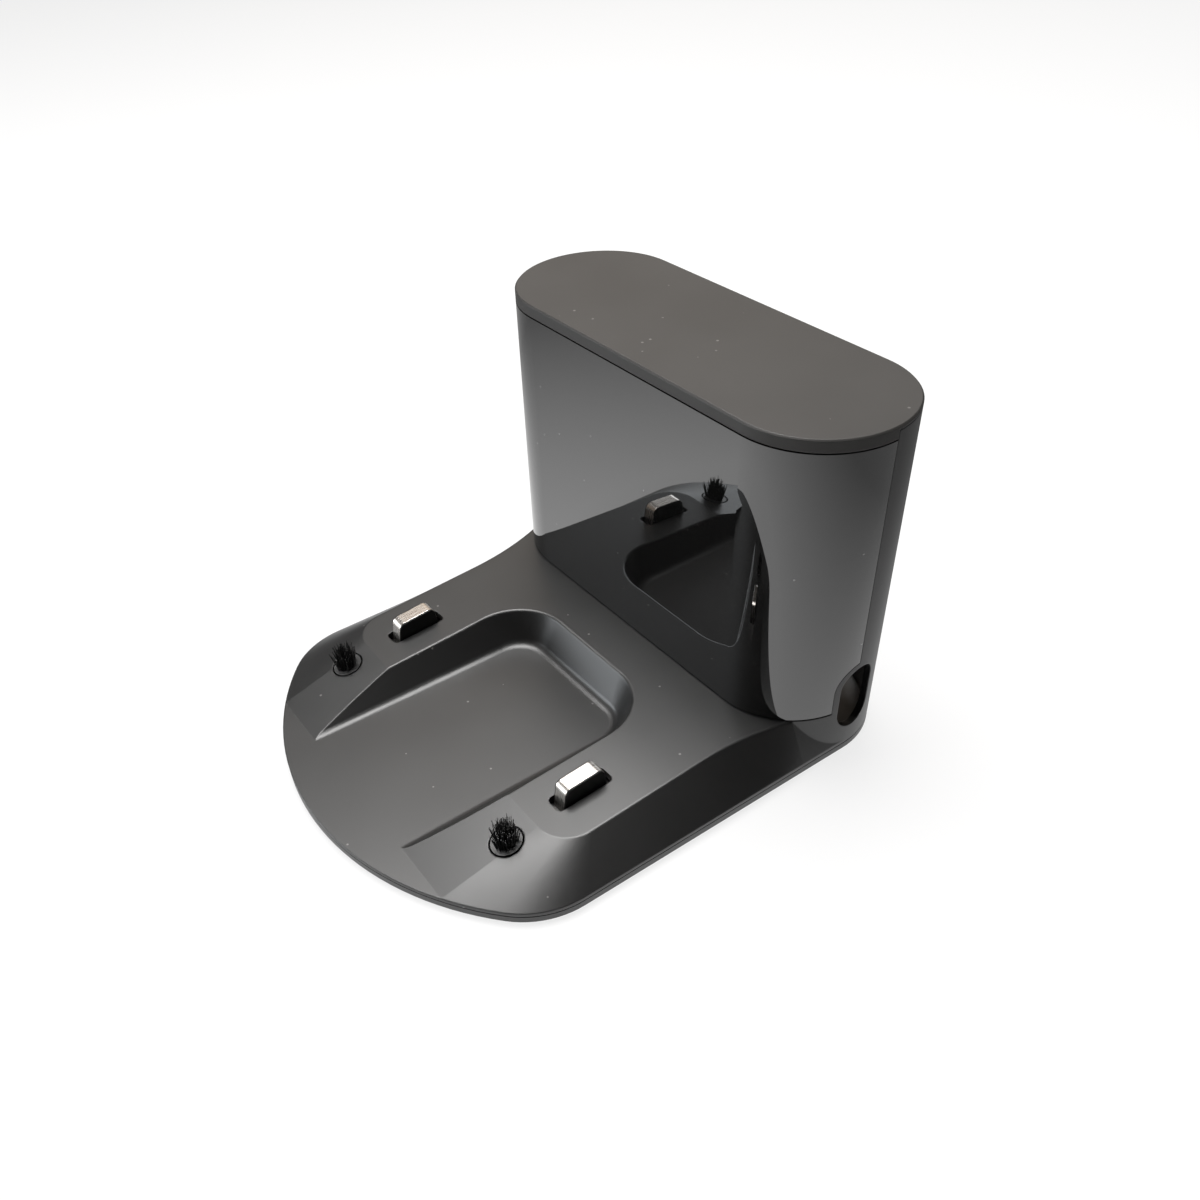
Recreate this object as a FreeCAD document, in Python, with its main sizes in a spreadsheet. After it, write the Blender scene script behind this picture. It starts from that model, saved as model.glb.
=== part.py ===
"""Charging dock of a robot vacuum cleaner, as an assembly of its separate pieces.

A low ramp with a U-shaped recess carries two sprung contacts and two brushes, and an
upright housing behind it holds the electronics. Millimetres, +Z up, front towards -Y,
origin on the floor at the middle of the footprint.
"""
import FreeCAD, Part
import Sketcher
import math
import os
import re

SIZES = [
    ("base_width", 131.0, "ramp and tower, over the widest part"),
    ("base_depth", 152.0, "front of the rim to the back of the tower"),
    ("dock_height", 98.0, "floor to the top of the cover"),
    ("tower_depth", 47.0, "tower, front to back, with half round ends"),
    ("front_arc_extra", 19.1, "radius of the front edge in plan, over half the width"),
    ("front_corner_radius", 24.7, "front corners of the base in plan"),
    ("foot_stand", 0.5, "gap under the bottom plate"),
    ("plate_thickness", 1.8, "bottom plate"),
    ("parting_gap", 0.3, "shadow line between the bottom plate and the housing"),
    ("wall", 2.0, "moulded walls of the housing"),
    ("floor_thickness", 1.0, "floor of the recess"),
    ("seat_clearance", 0.3, "between a piece and the seat that holds it"),
    ("flank_width", 10.5, "flank beside the flat deck"),
    ("deck_front_inset", 41.3, "front edge of the deck behind the front of the rim"),
    ("deck_front_height", 10.6, "deck surface at its front edge"),
    ("deck_slope", 3.55, "degrees that the deck rises towards the tower"),
    ("deck_corner_radius", 9.5, "front corners of the deck"),
    ("pad_front_inset", 12.8, "foot of the front slope behind the front of the rim"),
    ("flare_start", 18.5, "where the deck starts to widen, in front of the tower"),
    ("flare_end", 15.4, "where the deck edge meets the tower, in front of its axis"),
    ("edge_rounding", 0.8, "crease along the deck edges"),
    ("pad_width", 33.9, "side of the base to the rim of the recess"),
    ("pad_floor_width", 40.1, "side of the base to the floor of the recess"),
    ("recess_rear_gap", 14.5, "rear rim of the recess in front of the tower"),
    ("recess_floor_gap", 19.5, "rear of the recess floor in front of the tower"),
    ("recess_corner_radius", 17.0, "rear corners of the recess at its rim"),
    ("recess_floor_radius", 9.0, "rear corners of the recess at its floor"),
    ("recess_fillet", 3.0, "between the recess floor and its walls"),
    ("cover_edge", 1.0, "visible edge of the top cover at the back"),
    ("cover_seam", 0.15, "hairline between the cover and the housing"),
    ("cover_band", 3.2, "height of the cover's front band"),
    ("cover_chamfer", 0.4, "top edge of the cover"),
    ("locating_rib", 1.2, "thickness of the rib under the cover"),
    ("locating_depth", 3.0, "reach of the rib under the cover"),
    ("window_thickness", 1.8, "front window, cover band"),
    ("window_gap", 0.4, "shadow gap over and under the window"),
    ("window_seam", 1.3, "end seam of the window behind the tower axis"),
    ("seam_gap", 0.15, "gap at the end seams of the window"),
    ("slot_length", 20.0, "cable slot in the tower end, top to bottom"),
    ("slot_width", 12.0, "cable slot in the tower end, front to back"),
    ("slot_bottom", 8.5, "lowest point of the cable slot"),
    ("slot_offset", 1.9, "middle of the cable slot behind the tower axis"),
    ("slot_border", 1.8, "housing left between the cable slot and the window"),
    ("bay_wall_inset", 18.9, "front face of the cord bay behind the front of the tower"),
    ("bay_top", 31.0, "ceiling of the cord bay"),
    ("bay_floor", 4.6, "floor of the cord bay"),
    ("bay_mouth_side", 15.5, "side of the tower to the opening of the cord bay"),
    ("bay_mouth_bottom", 7.0, "lower edge of the opening in the back"),
    ("bay_mouth_radius", 5.0, "corners of the opening in the back"),
    ("contact_side", 23.1, "middle of a contact in from the side of the base"),
    ("contact_inset", 56.65, "middle of the contacts behind the front of the rim"),
    ("contact_slot_width", 5.6, "deck slot round a contact"),
    ("contact_slot_length", 17.2, "deck slot round a contact"),
    ("contact_slot_radius", 1.4, "corners of the deck slot round a contact"),
    ("carrier_width", 4.9, "plastic carrier of a contact"),
    ("carrier_foot_length", 13.9, "carrier at the flange"),
    ("carrier_top_length", 11.4, "carrier at its top"),
    ("carrier_rise", 5.15, "carrier above the deck at its middle"),
    ("carrier_top_tilt", 1.0, "rise of the carrier's top from front to back"),
    ("carrier_rounding", 2.0, "top corners of the carrier"),
    ("flange_width", 10.0, "flange that keeps a carrier under the deck"),
    ("flange_length", 18.6, "flange that keeps a carrier under the deck"),
    ("flange_thickness", 1.2, "flange that keeps a carrier under the deck"),
    ("strip_width", 4.2, "metal strip of a contact"),
    ("strip_thickness", 0.5, "metal strip of a contact"),
    ("strip_proud", 0.15, "metal strip above the carrier's edges"),
    ("holder_wall", 1.0, "walls of the tray under a contact"),
    ("holder_floor", 0.8, "floor of the tray under a contact"),
    ("spring_diameter", 5.0, "contact spring, over the wire"),
    ("spring_wire", 0.4, "contact spring"),
    ("spring_turns", 3.5, "contact spring"),
    ("spring_pin_diameter", 3.6, "pin that centres a contact spring"),
    ("spring_pin_height", 0.8, "pin that centres a contact spring"),
    ("spring_play", 0.05, "between a spring and the pieces it bears on"),
    ("brush_side", 22.5, "middle of a brush in from the side of the base"),
    ("brush_inset", 33.3, "middle of the brushes behind the front of the rim"),
    ("plug_diameter", 8.2, "brush plug"),
    ("plug_ring_gap", 0.45, "ring gap round a brush plug"),
    ("plug_collar_diameter", 13.0, "collar at the foot of a brush plug"),
    ("plug_collar_height", 1.0, "collar at the foot of a brush plug"),
    ("tuft_diameter", 5.0, "bristles where they leave the plug"),
    ("tuft_tip_diameter", 8.6, "bristles at their tips"),
    ("tuft_socket_depth", 3.5, "bristles held in the plug"),
    ("tuft_top", 16.5, "tips of the bristles above the floor"),
    ("bristle_diameter", 0.9, "one lock of bristles at its foot"),
    ("bristle_tip_diameter", 0.3, "one lock of bristles at its tip"),
    ("screw_front_inset", 56.1, "front screws behind the front of the rim"),
    ("screw_front_side", 13.0, "front screws in from the side of the base"),
    ("screw_rear_side", 17.5, "rear screws in from the side of the base"),
    ("boss_diameter", 6.0, "screw bosses of the housing"),
    ("boss_height", 12.0, "screw bosses of the housing above the floor"),
    ("boss_merge", 0.6, "how far the rear bosses run into the bay wall"),
    ("screw_diameter", 2.6, "thread of the housing screws"),
    ("screw_head_diameter", 5.0, "head of the housing screws"),
    ("screw_head_height", 1.0, "head of the housing screws"),
    ("screw_head_sink", 1.1, "depth of the head recesses in the bottom plate"),
    ("screw_length", 6.0, "housing screws under the head"),
    ("pilot_depth", 6.0, "blind holes for the housing screws"),
    ("foot_diameter", 12.0, "rubber feet"),
    ("foot_sink", 0.7, "rubber feet held in the bottom plate"),
    ("foot_chamfer", 0.25, "lower edge of the rubber feet"),
    ("foot_front_inset", 28.0, "front feet behind the front of the rim"),
    ("foot_front_side", 27.5, "front feet in from the side of the base"),
    ("foot_rear_offset", 7.0, "rear feet behind the tower axis"),
    ("foot_rear_side", 19.5, "rear feet in from the side of the base"),
    ("ballast_side_gap", 4.4, "steel weight to the middle of a contact's wire"),
    ("ballast_depth", 21.0, "steel weight in the base"),
    ("ballast_thickness", 3.0, "steel weight in the base"),
    ("ballast_rear_gap", 4.9, "steel weight in front of the bay wall"),
    ("ballast_corner", 2.0, "corners of the steel weight"),
    ("board_thickness", 1.6, "main circuit board"),
    ("board_width", 72.0, "main circuit board"),
    ("board_top_gap", 9.0, "main circuit board under the top of the cover"),
    ("board_bay_gap", 4.0, "main circuit board over the roof of the cord bay"),
    ("post_length", 6.5, "posts behind the main circuit board"),
    ("post_diameter", 6.0, "posts that carry the circuit boards"),
    ("post_inset", 5.0, "posts in from the corners of the main circuit board"),
    ("board_screw_diameter", 2.4, "thread of the board screws"),
    ("board_screw_head", 4.6, "head of the board screws"),
    ("board_screw_length", 5.0, "board screws under the head"),
    ("board_screw_head_height", 1.4, "head of the board screws"),
    ("transformer_x", -17.0, "middle of the transformer from the middle of the board"),
    ("transformer_z", 26.0, "middle of the transformer above the board's lower edge"),
    ("transformer_width", 22.0, "transformer on the main board"),
    ("transformer_height", 20.0, "transformer on the main board"),
    ("transformer_depth", 15.0, "transformer on the main board"),
    ("winding_width", 15.0, "winding through the transformer's core"),
    ("core_depth", 8.0, "laminated core of the transformer"),
    ("capacitor_x", 12.0, "middle of the capacitor from the middle of the board"),
    ("capacitor_z", 38.0, "middle of the capacitor above the board's lower edge"),
    ("capacitor_diameter", 10.0, "smoothing capacitor"),
    ("capacitor_length", 16.0, "smoothing capacitor"),
    ("capacitor_chamfer", 0.5, "rim of the smoothing capacitor"),
    ("choke_x", 14.0, "middle of the choke from the middle of the board"),
    ("choke_z", 19.0, "middle of the choke above the board's lower edge"),
    ("choke_hole", 5.0, "hole through the choke's ring"),
    ("choke_diameter", 13.0, "mains filter choke"),
    ("choke_height", 9.0, "mains filter choke"),
    ("fuse_x", -6.0, "middle of the fuse from the middle of the board"),
    ("fuse_z", 8.0, "middle of the fuse above the board's lower edge"),
    ("fuse_diameter", 5.0, "mains fuse"),
    ("fuse_length", 14.0, "mains fuse"),
    ("chip_x", 0.5, "middle of the chip from the middle of the board"),
    ("chip_z", 30.0, "middle of the chip above the board's lower edge"),
    ("chip_length", 10.0, "control chip"),
    ("chip_width", 6.0, "control chip"),
    ("chip_thickness", 1.8, "control chip"),
    ("signal_board_width", 40.0, "board behind the front window"),
    ("signal_board_height", 16.0, "board behind the front window"),
    ("signal_board_bottom", 40.0, "board behind the front window"),
    ("signal_post_length", 5.0, "posts in front of the signal board"),
    ("emitter_diameter", 5.0, "infrared emitters"),
    ("emitter_spacing", 11.0, "between neighbouring infrared emitters"),
    ("emitter_length", 6.4, "infrared emitters in front of their board"),
    ("inlet_width", 17.0, "mains inlet behind the bay wall"),
    ("inlet_height", 9.6, "mains inlet behind the bay wall"),
    ("inlet_depth", 12.0, "mains inlet in front of the bay"),
    ("inlet_mouth_depth", 10.5, "mouth of the mains inlet"),
    ("inlet_flange", 2.0, "flange of the mains inlet beyond its body"),
    ("inlet_flange_thickness", 1.2, "flange of the mains inlet"),
    ("inlet_middle", 19.0, "middle of the mains inlet above the floor"),
    ("inlet_lobe", 5.6, "each lobe of the inlet's mouth"),
    ("inlet_waist", 2.8, "neck between the lobes of the inlet's mouth"),
    ("inlet_corner", 2.4, "corners of the mains inlet"),
    ("inlet_pin_spacing", 6.6, "between the two inlet pins"),
    ("inlet_pin_diameter", 2.4, "inlet pins"),
    ("inlet_pin_length", 8.5, "inlet pins inside the mouth"),
    ("inlet_tail", 3.0, "inlet pins behind the floor of the mouth"),
    ("lead_diameter", 1.5, "wires from the contacts to the main board"),
    ("lead_bend", 4.0, "bends of the wires"),
    ("lead_back", 3.4, "upright run of the wires in front of the bay wall"),
    ("lead_rise", 3.5, "wires over the roof of the cord bay"),
    ("lead_board_x", 25.0, "ends of the wires from the middle of the board"),
]
NAMES = [name for name, amount, note in SIZES]
WORDS = re.compile(r"\b(" + "|".join(NAMES) + r")\b")

# Derived places, as formulas in the names above
FRONT = "(-base_depth / 2)"
REAR = "(base_depth / 2)"
SIDE = "(base_width / 2)"
TOWER_RADIUS = "(tower_depth / 2)"
TOWER_AXIS = "(base_depth / 2 - tower_depth / 2)"
TOWER_FRONT = "(base_depth / 2 - tower_depth)"
TOWER_HALF = "(base_width / 2 - tower_depth / 2)"
PLATE_TOP = "(foot_stand + plate_thickness)"
SHELL_FOOT = f"({PLATE_TOP} + parting_gap)"
RECESS_FLOOR = f"({SHELL_FOOT} + floor_thickness)"
COVER_SEAT = "(dock_height - cover_edge)"
WINDOW_BACK = f"({TOWER_RADIUS} - window_thickness)"
FRONT_ARC = "(base_width / 2 + front_arc_extra)"
ARC_CENTRE = f"({FRONT_ARC} - base_depth / 2)"
CORNER_X = "(base_width / 2 - front_corner_radius)"
CORNER_RISE = f"sqrt(({FRONT_ARC} - front_corner_radius)^2 - {CORNER_X}^2)"
CORNER_Y = f"({ARC_CENTRE} - {CORNER_RISE})"
DECK_FRONT = f"({FRONT} + deck_front_inset)"
DECK_TAN = "tan(deck_slope * 1 deg)"
DECK_COS = "cos(deck_slope * 1 deg)"
DECK_AT_ORIGIN = f"(deck_front_height - {DECK_FRONT} * {DECK_TAN})"
PAD_FRONT = f"({FRONT} + pad_front_inset)"
PAD_SLOPE = f"atan((deck_front_height - {RECESS_FLOOR}) / (deck_front_inset - pad_front_inset))"
FLARE_START = f"({TOWER_FRONT} - flare_start)"
FLARE_END = f"({TOWER_AXIS} - flare_end)"
FLARE_X = f"({TOWER_HALF} + sqrt({TOWER_RADIUS}^2 - flare_end^2))"
WINDOW_END = f"({TOWER_AXIS} + window_seam)"
DECK_HALF = f"({SIDE} - flank_width)"
RECESS_WIDTH = "(base_width - 2 * pad_width)"
RECESS_REAR = f"({TOWER_FRONT} - recess_rear_gap)"
RECESS_FLOOR_WIDTH = "(base_width - 2 * pad_floor_width)"
RECESS_FLOOR_END = f"({TOWER_FRONT} - recess_floor_gap)"
CONTACT_X = f"({SIDE} - contact_side)"
BRUSH_X = f"({SIDE} - brush_side)"
BAY_MOUTH_HALF = f"({SIDE} - bay_mouth_side)"
BOARD_BOTTOM = "(bay_top + wall + board_bay_gap)"
BOARD_TOP = "(dock_height - board_top_gap)"
INNER_RADIUS = f"({TOWER_RADIUS} - window_thickness - seat_clearance - wall)"
BAY_WALL = f"({TOWER_FRONT} + bay_wall_inset)"
CONTACT_Y = f"({FRONT} + contact_inset)"
BRUSH_Y = f"({FRONT} + brush_inset)"
SEAT_UNDER_DECK = f"({DECK_AT_ORIGIN} + ({CONTACT_Y} - flange_length / 2) * {DECK_TAN} - wall / {DECK_COS})"
FLANGE_TOP = f"({SEAT_UNDER_DECK} - seat_clearance)"
DECK_AT_CONTACT = f"({DECK_AT_ORIGIN} + {CONTACT_Y} * {DECK_TAN})"
HOLDER_FLOOR = f"({PLATE_TOP} + holder_floor)"
SLOPE_AT_BRUSH = f"(deck_front_height + ({BRUSH_Y} - {DECK_FRONT}) * tan({PAD_SLOPE}))"
SPREAD_START = f"({SLOPE_AT_BRUSH} + tuft_diameter / 2 * tan({PAD_SLOPE}))"
BOARD_BACK = f"({REAR} - wall - post_length)"
BOARD_FRONT = f"({BOARD_BACK} - board_thickness)"
SIGNAL_FRONT = f"({TOWER_AXIS} - {INNER_RADIUS} + signal_post_length)"
REACH = 400.0
LOCK_SIDES = 4
WIRE_SIDES = 4
LEAD_SIDES = 8
SHANK_SIDES = 8
TUFT_SIDES = 12

document = FreeCAD.newDocument("ChargingDock")
sheet = document.addObject("Spreadsheet::Sheet", "Sizes")


def fill_sheet():
    for row, (name, amount, note) in enumerate(SIZES, start=1):
        sheet.set(f"A{row}", note)
        sheet.set(f"B{row}", str(amount))
        sheet.setAlias(f"B{row}", name)
    document.recompute()


def formula(text):
    """The same formula with every size looked up in the sheet."""
    return WORDS.sub(r"Sizes.\1", text)


def number(text):
    found = sheet.evalExpression(formula(text))
    return float(getattr(found, "Value", found))


def on_slope(y):
    """Distance along the tilted deck plane for a place y of the plan."""
    return f"(({y}) / {DECK_COS})"


def new_body(name, x="0", y="0", z="0"):
    body = document.addObject("PartDesign::Body", name)
    body.Label = name
    for axis, place in (("x", x), ("y", y), ("z", z)):
        body.setExpression(f"Placement.Base.{axis}", formula(place))
    return body


def new_sketch(body, name, plane="XY_Plane", lift="0", tilt=None):
    """Sketch on an origin plane of its body, lifted along the plane's normal."""
    sketch = body.newObject("Sketcher::SketchObject", f"{body.Name}_{name}")
    origin_plane = [item for item in body.Origin.OriginFeatures if item.Role == plane][0]
    sketch.AttachmentSupport = [(origin_plane, "")]
    sketch.MapMode = "FlatFace"
    if tilt is not None:
        start = FreeCAD.Rotation(FreeCAD.Vector(1, 0, 0), 1)
        sketch.AttachmentOffset = FreeCAD.Placement(FreeCAD.Vector(), start)
        sketch.setExpression("AttachmentOffset.Rotation.Angle", formula(tilt))
    sketch.setExpression("AttachmentOffset.Base.z", formula(lift))
    return sketch


def constrain(sketch, kind, places, text):
    index = sketch.addConstraint(Sketcher.Constraint(kind, *places, number(text)))
    sketch.setExpression(f"Constraints[{index}]", formula(text))


def arc_between(start, end, radius, turn):
    """Minor arc from start to end that turns left (1) or right (-1), and its end numbers."""
    chord = end - start
    half = chord.Length / 2
    across = FreeCAD.Vector(-chord.y, chord.x, 0).normalize() * turn
    centre = (start + end) / 2 + across * math.sqrt(max(radius ** 2 - half ** 2, 0))
    first, last = (start, end) if turn > 0 else (end, start)
    angles = [math.atan2(point.y - centre.y, point.x - centre.x) for point in (first, last)]
    circle = Part.Circle(centre, FreeCAD.Vector(0, 0, 1), radius)
    ends = (1, 2) if turn > 0 else (2, 1)
    return Part.ArcOfCircle(circle, *angles), ends


def draw_outline(sketch, corners):
    """Closed outline. A corner is (x, y), or (x, y, radius, turn) where an arc leaves it."""
    first = sketch.GeometryCount
    points = [FreeCAD.Vector(number(corner[0]), number(corner[1]), 0) for corner in corners]
    ends = []
    for index, corner in enumerate(corners):
        start = points[index]
        end = points[(index + 1) % len(points)]
        if len(corner) == 2:
            sketch.addGeometry(Part.LineSegment(start, end))
            ends.append((1, 2))
        else:
            arc, arc_ends = arc_between(start, end, number(corner[2]), corner[3])
            sketch.addGeometry(arc)
            ends.append(arc_ends)
    count = len(corners)
    for index in range(count):
        following = (index + 1) % count
        places = (first + index, ends[index][1], first + following, ends[following][0])
        sketch.addConstraint(Sketcher.Constraint("Coincident", *places))
    for index, corner in enumerate(corners):
        place = (-1, 1, first + index, ends[index][0])
        constrain(sketch, "DistanceX", place, corner[0])
        constrain(sketch, "DistanceY", place, corner[1])
        if len(corner) > 2:
            constrain(sketch, "Radius", (first + index,), corner[2])


def both_sides(right, front_arc=()):
    """Outline from its right half, front to back, and the arc that joins the halves in front."""
    left = []
    for index in range(len(right) - 1, -1, -1):
        x, y = right[index][:2]
        arc = right[index - 1][2:] if index > 0 else front_arc
        left.append((f"(-{x})", y) + tuple(arc))
    middle = [right[-1][:2]]
    return list(right[:-1]) + middle + left


def draw_circle(sketch, x, y, diameter):
    index = sketch.GeometryCount
    centre = FreeCAD.Vector(number(x), number(y), 0)
    radius = number(f"({diameter}) / 2")
    sketch.addGeometry(Part.Circle(centre, FreeCAD.Vector(0, 0, 1), radius))
    constrain(sketch, "DistanceX", (-1, 1, index, 3), x)
    constrain(sketch, "DistanceY", (-1, 1, index, 3), y)
    constrain(sketch, "Diameter", (index,), diameter)


def draw_polygon(sketch, x, y, diameter, sides):
    """Regular polygon with its corners on a circle."""
    corners = []
    for index in range(sides):
        turn = f"({360 * index / sides} * 1 deg)"
        corners.append((f"({x} + {diameter} / 2 * cos{turn})", f"({y} + {diameter} / 2 * sin{turn})"))
    draw_outline(sketch, corners)


def draw_box(sketch, left, bottom, right, top):
    draw_outline(sketch, [(left, bottom), (right, bottom), (right, top), (left, top)])


def draw_rounded_box(sketch, left, bottom, right, top, radius):
    draw_outline(sketch, [
        (f"({left} + {radius})", bottom), (f"({right} - {radius})", bottom, radius, 1),
        (right, f"({bottom} + {radius})"), (right, f"({top} - {radius})", radius, 1),
        (f"({right} - {radius})", top), (f"({left} + {radius})", top, radius, 1),
        (left, f"({top} - {radius})"), (left, f"({bottom} + {radius})", radius, 1),
    ])


def draw_stadium(sketch, x, y, straight, radius, upright=False):
    """Slot outline: half round ends of one radius at both ends of a straight length."""
    first = sketch.GeometryCount
    middle = FreeCAD.Vector(number(x), number(y), 0)
    half = number(f"({straight}) / 2")
    size = number(radius)
    along = FreeCAD.Vector(0, 1, 0) if upright else FreeCAD.Vector(1, 0, 0)
    across = FreeCAD.Vector(-along.y, along.x, 0)
    normal = FreeCAD.Vector(0, 0, 1)
    heading = math.atan2(along.y, along.x)
    far = Part.Circle(middle + along * half, normal, size)
    near = Part.Circle(middle - along * half, normal, size)
    quarter = math.pi / 2
    sketch.addGeometry(Part.ArcOfCircle(far, heading - quarter, heading + quarter))
    sketch.addGeometry(Part.LineSegment(middle + along * half + across * size,
                                        middle - along * half + across * size))
    sketch.addGeometry(Part.ArcOfCircle(near, heading + quarter, heading + 3 * quarter))
    sketch.addGeometry(Part.LineSegment(middle - along * half - across * size,
                                        middle + along * half - across * size))
    for index in range(4):
        following = first + (index + 1) % 4
        sketch.addConstraint(Sketcher.Constraint("Tangent", first + index, 2, following, 1))
    sketch.addConstraint(Sketcher.Constraint("Equal", first, first + 2))
    constrain(sketch, "Radius", (first,), radius)
    for offset, sign in ((0, "+"), (2, "-")):
        shift = f"{sign} ({straight}) / 2"
        constrain(sketch, "DistanceX", (-1, 1, first + offset, 3), x if upright else f"({x} {shift})")
        constrain(sketch, "DistanceY", (-1, 1, first + offset, 3), f"({y} {shift})" if upright else y)


def pad(body, sketch, length, midplane=False, backwards=False):
    feature = body.newObject("PartDesign::Pad", f"{sketch.Name}_pad")
    feature.Profile = sketch
    feature.Midplane = midplane
    feature.Reversed = backwards
    feature.setExpression("Length", formula(length))
    return grown(body, feature)


def pocket(body, sketch, length=None, midplane=False, backwards=False):
    """Cut along the sketch's normal, through everything where no length is given."""
    feature = body.newObject("PartDesign::Pocket", f"{sketch.Name}_pocket")
    feature.Profile = sketch
    feature.Midplane = midplane
    feature.Reversed = backwards
    if length is None:
        feature.Length = REACH
    else:
        feature.setExpression("Length", formula(length))
    return shrunk(body, feature)


def loft(body, kind, first, second):
    feature = body.newObject(f"PartDesign::{kind}", f"{first.Name}_loft")
    feature.Profile = first
    feature.Sections = [second]
    feature.Ruled = True
    return grown(body, feature) if kind == "AdditiveLoft" else shrunk(body, feature)


def volume_before(body, feature):
    base = feature.BaseFeature
    return base.Shape.Volume if base is not None else 0.0


def grown(body, feature):
    document.recompute()
    if feature.Shape.isNull() or feature.Shape.Volume <= volume_before(body, feature):
        raise RuntimeError(f"{feature.Name} adds nothing")
    body.Tip = feature
    return feature


def shrunk(body, feature):
    document.recompute()
    if feature.Shape.isNull() or feature.Shape.Volume >= volume_before(body, feature):
        raise RuntimeError(f"{feature.Name} cuts nothing")
    body.Tip = feature
    return feature


def cut_with(body, tool):
    feature = body.newObject("PartDesign::Boolean", f"{tool.Name}_cut")
    feature.Type = "Cut"
    feature.setObjects([tool])
    document.recompute()
    body.Tip = feature
    return feature


def edges_where(feature, wanted):
    return [f"Edge{index}" for index, edge in enumerate(feature.Shape.Edges, start=1) if wanted(edge)]


def round_edges(body, wanted, radius, kind="Fillet"):
    base = body.Tip
    feature = body.newObject(f"PartDesign::{kind}", f"{base.Name}_{kind.lower()}")
    feature.Base = (base, edges_where(base, wanted))
    feature.Refine = False
    feature.setExpression("Radius" if kind == "Fillet" else "Size", formula(radius))
    document.recompute()
    if "Invalid" in feature.State or not feature.Shape.isValid():
        raise RuntimeError(f"{feature.Name} can't be rounded")
    body.Tip = feature
    return feature


def same(first, second, slack=0.02):
    return abs(first - second) < slack


def base_outline(inset="0"):
    """Plan of the base, moved inwards by inset."""
    reach = f"(({FRONT_ARC} - {inset}) / ({FRONT_ARC} - front_corner_radius))"
    tangent_x = f"({CORNER_X} * {reach})"
    tangent_y = f"({ARC_CENTRE} - {CORNER_RISE} * {reach})"
    right = [
        (tangent_x, tangent_y, f"(front_corner_radius - {inset})", 1),
        (f"({SIDE} - {inset})", CORNER_Y),
        (f"({SIDE} - {inset})", TOWER_AXIS, f"({TOWER_RADIUS} - {inset})", 1),
        (TOWER_HALF, f"({REAR} - {inset})"),
    ]
    front_arc = (f"({FRONT_ARC} - {inset})", 1)
    return both_sides(right, front_arc) + [("0", f"({FRONT} + {inset})") + front_arc]


def ramp_foot(inset="0"):
    """Foot of the ramp, with the front slope's straight foot behind the front arc."""
    arc = f"({FRONT_ARC} - {inset})"
    reach = f"({arc} / ({FRONT_ARC} - front_corner_radius))"
    foot = f"({PAD_FRONT} + {inset})"
    side = f"({SIDE} - {inset})"
    right = [
        (f"sqrt({arc}^2 - ({ARC_CENTRE} - {foot})^2)", foot, arc, 1),
        (f"({CORNER_X} * {reach})", f"({ARC_CENTRE} - {CORNER_RISE} * {reach})",
         f"(front_corner_radius - {inset})", 1),
        (side, CORNER_Y),
        (side, FLARE_START),
        (side, FLARE_END),
        (side, TOWER_AXIS),
    ]
    return both_sides(right)


def ramp_deck(inset="0"):
    """Edge of the deck in its tilted plane, with a corner for each corner of the foot."""
    half = f"({DECK_HALF} - {inset})"
    radius = f"(deck_corner_radius - {inset})"
    front = f"({DECK_FRONT} + {inset})"
    spread = f"({FLARE_X} - {DECK_HALF})"
    run = on_slope(f"{FLARE_END} - {FLARE_START}")
    flare_radius = f"(({spread}^2 + {run}^2) / (2 * {spread}))"
    diagonal = f"({radius} * sqrt(0.5))"
    right = [
        (f"({half} - {radius})", on_slope(front), radius, 1),
        (f"({half} - {radius} + {diagonal})", f"({on_slope(front)} + {radius} - {diagonal})", radius, 1),
        (half, f"({on_slope(front)} + {radius})"),
        (half, on_slope(FLARE_START), flare_radius, -1),
        (f"({FLARE_X} - {inset})", on_slope(FLARE_END)),
        (f"({FLARE_X} - {inset})", on_slope(TOWER_AXIS)),
    ]
    return both_sides(right)


def recess_outline(width, rear, radius, spread="0", along=str):
    """U-shaped plan that runs out of the front, grown by spread."""
    half = f"(({width}) / 2 + {spread})"
    end = f"({rear} + {spread})"
    bend = f"({radius} + {spread})"
    ahead = f"({FRONT} - front_corner_radius)"
    right = [
        (half, along(ahead)),
        (half, f"({along(end)} - {bend})", bend, 1),
        (f"({half} - {bend})", along(end)),
    ]
    return both_sides(right)


def cut_recess(body, name, spread, floor):
    """Take the recess, grown by spread, out of a body, from the floor to the deck plane."""
    low = new_sketch(body, f"{name}_floor", lift=floor)
    draw_outline(low, recess_outline(RECESS_FLOOR_WIDTH, RECESS_FLOOR_END,
                                     "recess_floor_radius", spread))
    high = new_sketch(body, f"{name}_rim", lift=DECK_AT_ORIGIN, tilt="deck_slope * 1 deg")
    draw_outline(high, recess_outline(RECESS_WIDTH, RECESS_REAR,
                                      "recess_corner_radius", spread, on_slope))
    return loft(body, "SubtractiveLoft", low, high)


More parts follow.
